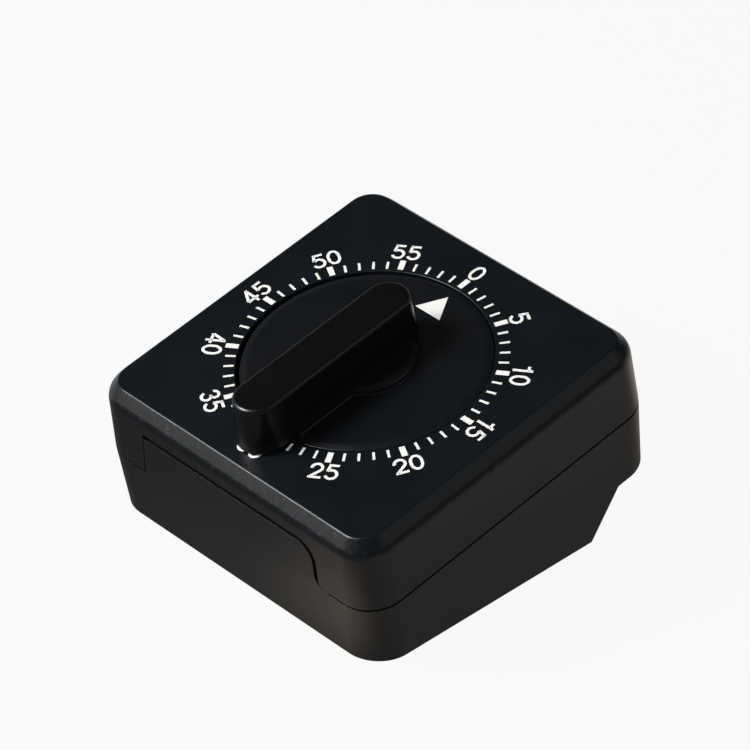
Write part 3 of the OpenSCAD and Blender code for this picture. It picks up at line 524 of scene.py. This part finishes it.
def on_low_wall(part, corners):
    """A test: every corner lies on the outside of the front's low wall, above its foot."""
    slope = SPREAD / (PARTING - LAND - BEVEL_DEPTH)
    return all(abs(c.y + HALF_H + (-c.z - BEVEL_DEPTH) * slope) < 0.02
               and -PARTING + LAND - NEAR < c.z < -BEVEL_DEPTH - SHOULDER_CREASE for c in corners)


def tongue_block(name, grow, side, outer, inner):
    """The tongue's form: a slanted left end, a round upper right corner, a flare below it."""
    top = -TONGUE_TOP + grow
    left = -TONGUE_LEFT - side
    right = TONGUE_RIGHT + grow
    piece = block(name, (left, outer, -PARTING - WALL), (right, inner, top))
    edit()
    pick(piece, "FACE", lambda part, corners: True)
    bpy.ops.mesh.bisect(plane_co=(0, 0, -PARTING), plane_no=(0, 0, 1))
    pick(piece, "FACE", lambda part, corners: part.normal.x > 0.99 and all(
        c.z < -PARTING + NEAR for c in corners))
    bpy.ops.mesh.extrude_region_move(
        TRANSFORM_OT_translate={"value": (TONGUE_FLARE + 1, 0, 0)})
    pick(piece, "VERT", lambda part, corners: abs(part.co.x - left) < NEAR
         and part.co.z < top - NEAR)
    bpy.ops.transform.translate(value=(-TONGUE_SLANT, 0, 0))
    pick(piece, "EDGE", lambda part, corners: all(
        abs(c.x - right) < NEAR and abs(c.z - top) < NEAR for c in corners))
    round_edges(TONGUE_ROUND + grow, 10)
    pick(piece, "EDGE", lambda part, corners: all(
        abs(c.x - right) < NEAR and abs(c.z + PARTING) < NEAR for c in corners))
    round_edges(TONGUE_FLARE - grow, 8)
    leave()
    return piece


SCREW_PLACES = [(x * SCREW_X, y * SCREW_Y) for x in (-1, 1) for y in (-1, 1)]
BOSS_PLACES = [(BOSS_CIRCLE * math.cos(math.radians(a)), BOSS_CIRCLE * math.sin(math.radians(a)))
               for a in (0, 90, 180, 270)]

cover = bevelled_box("front_cover", 0, -PARTING)
edit()
pick(cover, "EDGE", all_at(2, 0))
round_edges(FACE_CREASE, 3)
pick(cover, "EDGE", all_at(2, -BEVEL_DEPTH))
round_edges(SHOULDER_CREASE, 5)
pick(cover, "EDGE", all_at(2, -PARTING))
round_edges(LIP_EDGE, 3)
leave()

hollow = bevelled_box("cover_hollow", WALL, -PARTING - 1)
combine(hollow, bar("cup", (0, 0), DISC_RADIUS + DISC_GAP + WALL, 1, -RECESS_DEPTH - WALL, 128))
combine(hollow, bar("bush", (0, 0), ARBOR_RADIUS + WALL, 0, -RECESS_DEPTH - WALL - 1))
for spot in BOSS_PLACES:
    combine(hollow, bar("boss", spot, BOSS_RADIUS, 0, SEAT_LEVEL, 48))
for spot in SCREW_PLACES:
    combine(hollow, bar("post", spot, POST_RADIUS, 0, -PARTING, 48))
combine(cover, hollow)
combine(cover, bar("recess", RECESS_SHIFT, DISC_RADIUS + DISC_GAP, 2, -RECESS_DEPTH, 192))
edit()
pick(cover, "EDGE", lambda part, corners: all(
    abs(c.z) < NEAR and abs(math.hypot(c.x - RECESS_SHIFT[0], c.y - RECESS_SHIFT[1])
                            - DISC_RADIUS - DISC_GAP) < NEAR * 10 for c in corners))
round_edges(RECESS_EDGE, 3)
leave()
combine(cover, bar("arbor_hole", (0, 0), ARBOR_RADIUS + ARBOR_HOLE_PLAY, 0, SEAT_LEVEL - 1))
for spot in BOSS_PLACES:
    combine(cover, bar("hole", spot, MOVEMENT_SCREW_HOLE, -BEVEL_DEPTH, SEAT_LEVEL - 1, 32))
for spot in SCREW_PLACES:
    combine(cover, bar("hole", spot, CASE_SCREW_HOLE, -BEVEL_DEPTH - WALL, -PARTING - 1, 32))
combine(cover, tongue_block("notch", TONGUE_GAP, SEAM / 2, -HALF_H - 2, -HALF_H + WALL + 0.01))
edit()
pick(cover, "EDGE", on_low_wall)
round_edges(RIM_EDGE, 2)
leave()
place(cover, "case", case_plastic)
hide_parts("front_shell")


# ---------------------------------------------------------------- rear case

def wedge(name, inset, top):
    """The wedge behind the parting line, drawn in by inset."""
    x = HALF_W + SPREAD - inset
    y = HALF_H + SPREAD - inset
    piece = rounded_block(name, (-x, -y, DEEP), (x, y, top), CORNER + SPREAD - inset,
                          CORNER_STEPS)
    slope_in = (top - DEEP) * math.tan(SIDE_DRAFT)
    edit()
    for side in (-1, 1):
        pick(piece, "VERT", lambda part, corners: part.co.z < DEEP + NEAR
             and part.co.x * side > 0)
        bpy.ops.transform.translate(value=(-side * slope_in, 0, 0))
    pick(piece, "FACE", lambda part, corners: True)
    down = Vector((0, -math.sin(DIAL_TILT), -math.cos(DIAL_TILT)))
    bpy.ops.mesh.bisect(plane_co=Vector((0, -HALF_H, -LOW_DEPTH)) - down * inset,
                        plane_no=down, use_fill=True, clear_outer=True)
    leave()

    # what lies behind the heel and under the shallow strip, with the rear edge's round
    strip = -STRIP_DEPTH + inset
    back = HALF_H + SPREAD - inset + 0.02
    start = CUTBACK_Y + inset / math.tan(CUTBACK) - inset / math.sin(CUTBACK)
    behind = block("behind", (-HALF_W - 5, start, strip - 20), (HALF_W + 5, HALF_H + 20, strip))
    edit()
    pick(behind, "VERT", lambda part, corners: part.co.z < strip - 1 and part.co.y < start + 1)
    bpy.ops.transform.translate(value=(0, -20 / math.tan(CUTBACK), 0))
    pick(behind, "FACE", lambda part, corners: True)
    bpy.ops.mesh.bisect(plane_co=(0, back, 0), plane_no=(0, 1, 0))
    pick(behind, "FACE", lambda part, corners: part.normal.z > 0.99 and all(
        c.y > back - NEAR for c in corners))
    bpy.ops.mesh.extrude_region_move(TRANSFORM_OT_translate={"value": (0, 0, 12)})
    pick(behind, "EDGE", lambda part, corners: all(
        abs(c.y - back) < NEAR and abs(c.z - strip) < NEAR for c in corners))
    round_edges(REAR_EDGE - inset * 0.75, 8)
    leave()
    return combine(piece, behind)


rear = wedge("rear_case", 0, -PARTING - OPENING)
edit()
pick(rear, "EDGE", all_at(2, -PARTING - OPENING))
round_edges(RIM_EDGE, 2)
leave()
inside = wedge("rear_hollow", WALL, -PARTING + 1)
for spot in SCREW_PLACES:
    combine(inside, bar("tube", spot, TUBE_RADIUS, -PARTING - SEAM, DEEP, 48))
combine(rear, inside)


def ring(name, x, y, corner, thickness, top, bottom):
    """An upright wall that runs round as a rectangle with round corners."""
    piece = rounded_block(name, (-x, -y, bottom), (x, y, top), corner, 8)
    x, y, corner = x - thickness, y - thickness, corner - thickness
    return combine(piece, rounded_block("core", (-x, -y, bottom - 1), (x, y, top + 1), corner, 8))


# a groove along the rim, just behind its outer edge, which keeps the parting line dark
groove_in = GROOVE_SKIN - SPREAD
combine(rear, ring("groove", HALF_W - groove_in, HALF_H - groove_in, CORNER - groove_in,
                   GROOVE_WIDTH, -PARTING + 1, -PARTING - OPENING - GROOVE_DEPTH))

lip_in = WALL + SEAM + LIP_HEIGHT * math.tan(FRONT_DRAFT) - SPREAD
lip = ring("lip", HALF_W - lip_in, HALF_H - lip_in, CORNER - lip_in, LIP_WALL,
           -PARTING + LIP_HEIGHT, -PARTING - WALL)
ledge_in = WALL / 2 - SPREAD
combine(lip, ring("ledge", HALF_W - ledge_in, HALF_H - ledge_in, CORNER - ledge_in,
                  lip_in + LIP_WALL - ledge_in, -PARTING - SEAM, -PARTING - WALL - 0.05), "UNION")
for spot in SCREW_PLACES:
    combine(lip, bar("room", spot, POST_RADIUS + SEAM, 0, -PARTING - SEAM, 48))
combine(rear, lip, "UNION")

# the tongue belongs to the rear but takes the form of the front's wall, so it lies flush with it
tongue = bevelled_box("tongue", 0, -PARTING - WALL)
combine(tongue, bevelled_box("core", WALL, -PARTING - WALL - 1))
step_at = -HALF_H - (TONGUE_TOP - BEVEL_DEPTH) * math.tan(FRONT_DRAFT) + TONGUE_SKIN
tongue_form = tongue_block("tongue_form", 0, 0, -HALF_H - 2, step_at)
combine(tongue_form, tongue_block("tongue_core", -TONGUE_STEP, 0, -HALF_H - 1, -HALF_H + WALL),
        "UNION")
combine(tongue, tongue_form, "INTERSECT")
edit()
pick(tongue, "EDGE", on_low_wall)
round_edges(RIM_EDGE, 2)
leave()
combine(rear, tongue, "UNION")
for x in (-TONGUE_LEFT / 2, TONGUE_LEFT / 2):
    combine(rear, block("rib", (x - WALL / 2, -HALF_H + WALL / 2, -PARTING - WALL),
                        (x + WALL / 2, -HALF_H + WALL + SEAM + LIP_WALL, -TONGUE_TOP - WALL)),
            "UNION")
for spot in SCREW_PLACES:
    combine(rear, bar("hole", spot, CASE_SCREW_PASSAGE, -PARTING + 1, DEEP, 32))
    combine(rear, bar("well", spot, SCREW_WELL, SCREW_SEAT, DEEP, 48))

slots = []
for i in range(SLOT_COUNT):
    y = (i - (SLOT_COUNT - 1) / 2) * SLOT_PITCH
    slots.append(rounded_block("slot", (-(SLOT_LENGTH + SLOT_WIDTH) / 2, y - SLOT_WIDTH / 2, -56),
                               ((SLOT_LENGTH + SLOT_WIDTH) / 2, y + SLOT_WIDTH / 2, -27),
                               SLOT_WIDTH * 0.499, 6))
combine(rear, join("slots", slots))
place(rear, "case", case_plastic)
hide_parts("rear_shell")


# ---------------------------------------------------------------- knob

knob = bar("knob_moulding", (0, 0), DISC_RADIUS, 0, -DISC_THICKNESS, 192)
edit()
pick(knob, "FACE", facing(2, 1))
bpy.ops.transform.translate(value=(0, 0, -DISC_RIM_DROP))
bpy.ops.mesh.inset(thickness=DISC_RIM, depth=DISC_RIM_DROP)
bpy.ops.mesh.inset(thickness=DISC_RADIUS - DISC_RIM - HUB_RADIUS, depth=0)
bpy.ops.mesh.extrude_region_move(
    TRANSFORM_OT_translate={"value": (0, 0, HUB_HEIGHT - HUB_SLOPE / 2)})
bpy.ops.mesh.inset(thickness=HUB_SLOPE, depth=HUB_SLOPE / 2)
pick(knob, "FACE", facing(2, -1))
bpy.ops.mesh.inset(thickness=SKIRT_WALL, depth=0)
bpy.ops.mesh.select_all(action="INVERT")
pick(knob, "FACE", lambda part, corners: part.normal.z < -0.99 and any(
    math.hypot(c.x, c.y) > DISC_RADIUS - NEAR * 20 for c in corners))
bpy.ops.mesh.extrude_region_move(
    TRANSFORM_OT_translate={"value": (0, 0, DISC_THICKNESS - SKIRT_DEPTH)})
pick(knob, "EDGE", lambda part, corners: all(
    abs(c.z + DISC_RIM_DROP) < NEAR and math.hypot(c.x, c.y) > DISC_RADIUS - NEAR * 20
    for c in corners))
round_edges(DISC_EDGE, 3)
pick(knob, "EDGE", lambda part, corners: all(
    abs(c.z) < NEAR and abs(math.hypot(c.x, c.y) - DISC_RADIUS + DISC_RIM) < 0.02
    for c in corners))
round_edges(KNOB_CREASE, 2)
pick(knob, "EDGE", lambda part, corners: all(
    abs(c.z - HUB_HEIGHT) < NEAR or abs(c.z - HUB_HEIGHT + HUB_SLOPE / 2) < NEAR
    for c in corners) and abs(corners[0].z - corners[1].z) < NEAR)
round_edges(KNOB_CREASE, 3)
pick(knob, "EDGE", lambda part, corners: all(
    abs(c.z) < NEAR and abs(math.hypot(c.x, c.y) - HUB_RADIUS) < 0.02 for c in corners))
round_edges(KNOB_CREASE, 3)
leave()

flare = HANDLE_HEIGHT * math.tan(HANDLE_DRAFT)
foot = HANDLE_FOOT + flare
handle = capsule("handle", HANDLE_WIDTH / 2 + foot, HANDLE_FRONT + foot, -HANDLE_BACK - foot,
                 0, -1)
edit()
pick(handle, "FACE", facing(2, 1))
bpy.ops.mesh.inset(thickness=HANDLE_FOOT, depth=HANDLE_FOOT)
bpy.ops.mesh.inset(thickness=flare, depth=HANDLE_HEIGHT - HANDLE_FOOT)
pick(handle, "EDGE", all_at(2, HANDLE_HEIGHT))
round_edges(HANDLE_EDGE, 5)
leave()
room = block("room", (-40, -60, -5), (40, 0, HANDLE_CLEARANCE))
combine(room, bar("under", (0, 0), DISC_RADIUS - DISC_RIM, 2, -6, 192))
combine(handle, room)
combine(knob, handle, "UNION")
combine(knob, bar("socket_wall", (0, 0), ARBOR_RADIUS + WALL, -1, -SKIRT_DEPTH - 0.05), "UNION")
bore = bar("bore", (0, 0), ARBOR_RADIUS + BORE_PLAY, ARBOR_END + 0.1, -RECESS_DEPTH)
flat = ARBOR_RADIUS - ARBOR_FLAT + LEAF + 0.1
combine(bore, block("flat", (flat, -5, -6), (5, 5, 8)))
combine(knob, bore)
place(knob, "dial_knob", knob_plastic)
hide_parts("knob")


# ---------------------------------------------------------------- print

MARK_INNER = 24.05
MARK_SMALL = 25.95
MARK_LONG = 26.5
MARK_THIN = 0.48
MARK_THICK = 1.1
marks = []
for minute in range(60):
    fifth = minute % 5 == 0
    wide = MARK_THICK if fifth else MARK_THIN
    end = MARK_LONG if fifth else MARK_SMALL
    mark = block("mark", (-wide / 2, MARK_INNER, -INK_ROOT), (wide / 2, end, INK))
    only(mark)
    mark.data.transform(Matrix.Rotation(-minute * math.pi / 30, 4, "Z"))
    marks.append(mark)
minute_marks = join("minute_marks", marks)
minute_marks.data.transform(Matrix.Rotation(PRINT_TURN, 4, "Z"))
place(minute_marks, "case", ink)

PEN = 0.56
FIGURE_HEIGHT = 3.8
FIGURE_RADIUS = 28.75


def stroke(name, start, heading, moves):
    """A pen line: from start, in the heading's direction, through straight and round moves.
    A straight move is a length. A round one is a radius and a turn, positive to the left."""
    bpy.ops.object.select_all(action="DESELECT")
    bpy.ops.mesh.primitive_plane_add(size=1, location=(start[0], start[1], INK))
    piece = bpy.context.active_object
    piece.name = name
    edit()
    pick(piece, "VERT", lambda part, corners: part.co.x > 0)
    bpy.ops.mesh.delete(type="VERT")
    pick(piece, "VERT", lambda part, corners: True)
    mesh = bmesh.from_edit_mesh(piece.data)
    direction = Vector((math.cos(math.radians(heading)), math.sin(math.radians(heading)), 0))
    left = Vector((-direction.y, direction.x, 0))
    for vert, side in zip(mesh.verts, (-1, 1)):
        vert.co = left * side * PEN / 2
    bmesh.update_edit_mesh(piece.data)
    at = Vector((start[0], start[1], INK))
    angle = math.radians(heading)
    for move in moves:
        ahead = Vector((math.cos(angle), math.sin(angle), 0))
        side = Vector((-ahead.y, ahead.x, 0))
        if isinstance(move, tuple):
            radius, turn = move[0], math.radians(move[1])
            centre = at + side * radius * (1 if turn > 0 else -1)
            steps = max(3, int(abs(move[1]) / 12))
            bpy.ops.mesh.spin(steps=steps, angle=-turn, center=centre, axis=(0, 0, 1))
            at = centre + Matrix.Rotation(turn, 3, "Z") @ (at - centre)
            angle += turn
        else:
            bpy.ops.mesh.extrude_region_move(
                TRANSFORM_OT_translate={"value": ahead * move})
            at = at + ahead * move
    leave()
    return named(name)


END = FIGURE_HEIGHT / 2                 # top and bottom of a figure
RISE = (FIGURE_HEIGHT - PEN) / 2        # top and bottom of its pen's centre line
ROUND = [0.7, (1.51, 45), (0.76, 90), (1.51, 45)]     # one side and one end of the nought
STROKES = {
    "0": [((0.98, -0.35), 90, ROUND + ROUND)],
    "1": [((0.4, -END), 90, [FIGURE_HEIGHT]), ((-0.75, 1.0), 0, [0.35, (0.85, 60)])],
    "2": [((-0.95, 0.57), 90, [0.1, (0.97, -180), (0.95, -45.4), 2.31]),
          ((-1.2, -RISE), 0, [2.4])],
    "3": [((-0.92, 0.78), 90, [(0.86, -180), (0.66, -90), 0.3]),
          ((-0.1, 0.12), 0, [0.22, (0.88, -180), (1.0, -75)])],
    "4": [((0.45, -END), 90, [FIGURE_HEIGHT]), ((0.4, 1.72), 238, [2.95]),
          ((-1.25, -0.85), 0, [2.5])],
    "5": [((1.0, RISE), 180, [1.75]), ((-0.58, END), 262, [1.85]),
          ((-0.8, 0.08), 50, [(1.0, -50), (1.05, -180), (1.0, -70)])],
}


def figure(digit):
    """One figure as thin ink, from its pen strokes."""
    return join("figure_" + digit, [stroke("stroke", *line) for line in STROKES[digit]])


FIGURES = {digit: figure(digit) for digit in "012345"}
ADVANCE = 2.9                           # from one figure of a number to the next
placed_figures = []
for value in range(0, 60, 5):
    text = str(value)
    flip = 20 <= value <= 40
    for index, digit in enumerate(text):
        shift = (index - (len(text) - 1) / 2) * ADVANCE
        twin = FIGURES[digit].copy()
        twin.data = FIGURES[digit].data.copy()
        bpy.context.collection.objects.link(twin)
        upside = Matrix.Rotation(math.pi if flip else 0, 4, "Z")
        turn = (Matrix.Rotation(-value * math.pi / 30, 4, "Z")
                @ Matrix.Translation((0, FIGURE_RADIUS, 0)) @ upside
                @ Matrix.Translation((shift, 0, 0)))
        twin.data.transform(turn)
        placed_figures.append(twin)
for original in FIGURES.values():
    bpy.data.objects.remove(original)
dial_figures = join("dial_figures", placed_figures)
dial_figures.data.transform(Matrix.Rotation(PRINT_TURN, 4, "Z"))
place(dial_figures, "case", ink)

POINTER_WIDTH = 6.2
POINTER_HEIGHT = 5.35
POINTER_START = 15.55                   # from the dial centre to the triangle's base
UNIT_SIDE = 1.732                       # side and height of a triangle with even sides
UNIT_RISE = 1.5                         # whose corners lie on a circle of radius 1
bpy.ops.object.select_all(action="DESELECT")
bpy.ops.mesh.primitive_cylinder_add(vertices=3, radius=1, depth=INK + INK_ROOT,
                                    location=(0, 0, (INK - INK_ROOT) / 2))
pointer = bpy.context.active_object
pointer.name = "pointer_triangle"
pointer.scale = (POINTER_WIDTH / UNIT_SIDE, POINTER_HEIGHT / UNIT_RISE, 1)
pointer.location.y = POINTER_START + POINTER_HEIGHT / 3
pointer = named("pointer_triangle")
place(pointer, "dial_knob", ink)


# ---------------------------------------------------------------- floor, light and camera

VIEW_AZIMUTH = math.radians(44.65)
VIEW_ELEVATION = math.radians(35.29)
VIEW_ROLL = math.radians(2.09)
VIEW_DISTANCE = 821.7
VIEW_AIM = DIAL_CENTRE + Vector((2.29, 0.03, -2.24))
LENS = 219.9
SENSOR = 36
LAMP_AIM = Vector((0, 0, 0.03))         # metres, about the middle of the timer
FLOOR_SIZE = 8                          # metres
FLOOR_WHITE = 0.93                      # share of plain white in what the camera sees of it
FLOOR_PAINTED = 0.9                     # share of painted tone in what shiny surfaces see of it
SKY_LOW = 0.08                          # strength of the light from the horizon
SKY_HIGH = 0.04                         # and from above


def plain_floor():
    """A white, matt sheet that shows nearly pure white and keeps a faint shadow. Only rays that
    come off a shiny surface see it otherwise: as a painted reflection, a grey glow round the
    timer, brighter on the right and behind, with a warm glowing patch in front of the low wall's
    right end."""
    bpy.ops.object.select_all(action="DESELECT")
    bpy.ops.mesh.primitive_plane_add(size=FLOOR_SIZE)
    floor = named("floor")
    made = material("white sheet with painted reflections")
    t = made.node_tree
    where = add(t, "ShaderNodeTexCoord")
    away = add(t, "ShaderNodeVectorMath", {"operation": "LENGTH"}, {0: (where, "Object")})
    across = add(t, "ShaderNodeSeparateXYZ", None, {"Vector": (where, "Object")})
    to_rear_left = add(t, "ShaderNodeVectorMath", {"operation": "DOT_PRODUCT"}, {
        0: (where, "Object"), 1: (-0.70, 0.71, 0)})
    # the painted reflection: a glowing grey pool, brighter on the right and behind, and a warm
    # glowing patch
    # each ramp: what it runs along, its start and end in metres, its strength at both
    ramps = {
        "pool": ((away, "Value"), 0.1, 0.3, 1, 0.2),
        "beside": ((across, "X"), -0.05, 0.035, 0.135, 0.3),
        "right": ((across, "X"), 0.04, 0.08, 0.76, 1.25),
        "in front": ((across, "Y"), -0.09, -0.055, 0.4, 1),
        "rear left": ((to_rear_left, "Value"), 0.012, 0.05, 0, 0.6),
        "patch from left": ((across, "X"), -0.005, 0.025, 0, 0.5),
        "patch to right": ((across, "X"), 0.03, 0.045, 1, 0),
        "patch from front": ((across, "Y"), -0.06, -0.045, 0, 1),
        "patch to back": ((across, "Y"), -0.042, -0.03, 1, 0),
    }
    steps = {}
    for part, (along, start, end, first, last) in ramps.items():
        steps[part] = add(t, "ShaderNodeMapRange", SOFT, {
            "Value": along, "From Min": start, "From Max": end,
            "To Min": first, "To Max": last})
    products = {
        "grey": ("pool", "beside", "right", "in front"),
        "warm": ("patch from left", "patch to right", "patch from front", "patch to back"),
    }
    strength = {}
    for tone, factors in products.items():
        strength[tone] = steps[factors[0]]
        for factor in factors[1:]:
            strength[tone] = add(t, "ShaderNodeMath", {"operation": "MULTIPLY"}, {
                0: (strength[tone], 0), 1: (steps[factor], 0)})
    grey = add(t, "ShaderNodeMath", {"operation": "ADD"}, {
        0: (strength["grey"], 0), 1: (steps["rear left"], 0)})
    path = add(t, "ShaderNodeLightPath")
    paper = add(t, "ShaderNodeBsdfDiffuse", None, {"Color": colour("#9a9894")})
    # glow that shiny surfaces see as painted reflections of the floor
    cool = add(t, "ShaderNodeEmission", None, {
        "Color": colour("#fff6ec"), "Strength": (grey, "Value")})
    warm = add(t, "ShaderNodeEmission", None, {
        "Color": colour("#ffe2c4"), "Strength": (strength["warm"], "Value")})
    sheen = add(t, "ShaderNodeAddShader", None, {0: (cool, "Emission"), 1: (warm, "Emission")})
    white = add(t, "ShaderNodeEmission", None, {"Color": colour("#ffffff"), "Strength": 1.0})
    glossy = add(t, "ShaderNodeMath", {"operation": "MULTIPLY"}, {
        0: (path, "Is Glossy Ray"), 1: FLOOR_PAINTED})
    seen = add(t, "ShaderNodeMath", {"operation": "MULTIPLY"}, {
        0: (path, "Is Camera Ray"), 1: FLOOR_WHITE})
    mirrored = add(t, "ShaderNodeMixShader", None, {
        0: (glossy, "Value"), 1: (paper, "BSDF"), 2: (sheen, "Shader")})
    both = add(t, "ShaderNodeMixShader", None, {
        0: (seen, "Value"), 1: (mirrored, "Shader"), 2: (white, "Emission")})
    add(t, "ShaderNodeOutputMaterial", None, {"Surface": (both, "Shader")})
    floor.data.materials.append(made)


def soft_box(name, towards, distance, wide, high, power):
    """An area lamp in the given direction, that far from the timer: metres and watts."""
    light = bpy.data.lights.new(name, "AREA")
    light.shape = "RECTANGLE"
    light.size = wide
    light.size_y = high
    light.energy = power
    lamp = bpy.data.objects.new(name, light)
    bpy.context.collection.objects.link(lamp)
    way = Vector(towards).normalized()
    lamp.location = LAMP_AIM + way * distance
    lamp.rotation_euler = way.to_track_quat("Z", "Y").to_euler()
    return lamp


def studio():
    """White to the camera. What lights the timer is dim, and dimmer still from above."""
    world = bpy.data.worlds.new("studio")
    world.use_nodes = True
    bpy.context.scene.world = world
    t = world.node_tree
    t.nodes.clear()
    where = add(t, "ShaderNodeTexCoord")
    split = add(t, "ShaderNodeSeparateXYZ", None, {"Vector": (where, "Generated")})
    ramp = add(t, "ShaderNodeMapRange", SOFT, {
        "Value": (split, "Z"), "From Min": 0.0, "From Max": 0.5,
        "To Min": SKY_LOW, "To Max": SKY_HIGH})
    path = add(t, "ShaderNodeLightPath")
    dim = add(t, "ShaderNodeBackground", None, {
        "Color": colour("#f4f7fa"), "Strength": (ramp, "Result")})
    white = add(t, "ShaderNodeBackground", None, {"Color": colour("#ffffff"), "Strength": 1.0})
    both = add(t, "ShaderNodeMixShader", None, {
        0: (path, "Is Camera Ray"), 1: (dim, "Background"), 2: (white, "Background")})
    add(t, "ShaderNodeOutputWorld", None, {"Surface": (both, "Shader")})


def camera():
    az, el = VIEW_AZIMUTH, VIEW_ELEVATION
    back = Vector((math.sin(az) * math.cos(el), -math.cos(az) * math.cos(el), math.sin(el)))
    view = bpy.data.cameras.new("camera")
    view.lens = LENS
    view.sensor_width = SENSOR
    view.clip_start = 0.01
    eye = bpy.data.objects.new("camera", view)
    bpy.context.collection.objects.link(eye)
    eye.location = (VIEW_AIM + back * VIEW_DISTANCE) * MM
    level = back.to_track_quat("Z", "Y")
    eye.rotation_euler = (level @ Matrix.Rotation(VIEW_ROLL, 3, "Z").to_quaternion()).to_euler()
    bpy.context.scene.camera = eye


LAMPS = (
    # name, direction, distance, width, height, power
    ("key", (-0.42, -0.62, 0.66), 1.0, 0.4, 0.4, 11.3),
    ("reflector", (-0.60, -0.78, 0.2), 1.0, 0.7, 0.22, 0.65),
    ("right_panel", (0.77, 0.35, 0.54), 1.0, 0.7, 0.5, 0.32),
    ("left_panel", (-0.84, 0.39, 0.39), 1.0, 0.5, 0.25, 0.05),
)

plain_floor()
studio()
for lamp_sizes in LAMPS:
    soft_box(*lamp_sizes)
# fill from the camera's side, which lifts the shadows and leaves no highlight
fill = soft_box("fill", (0.57, -0.58, 0.58), 1.2, 0.6, 0.6, 5)
fill.visible_glossy = False
camera()
bpy.context.scene.view_settings.view_transform = "Standard"
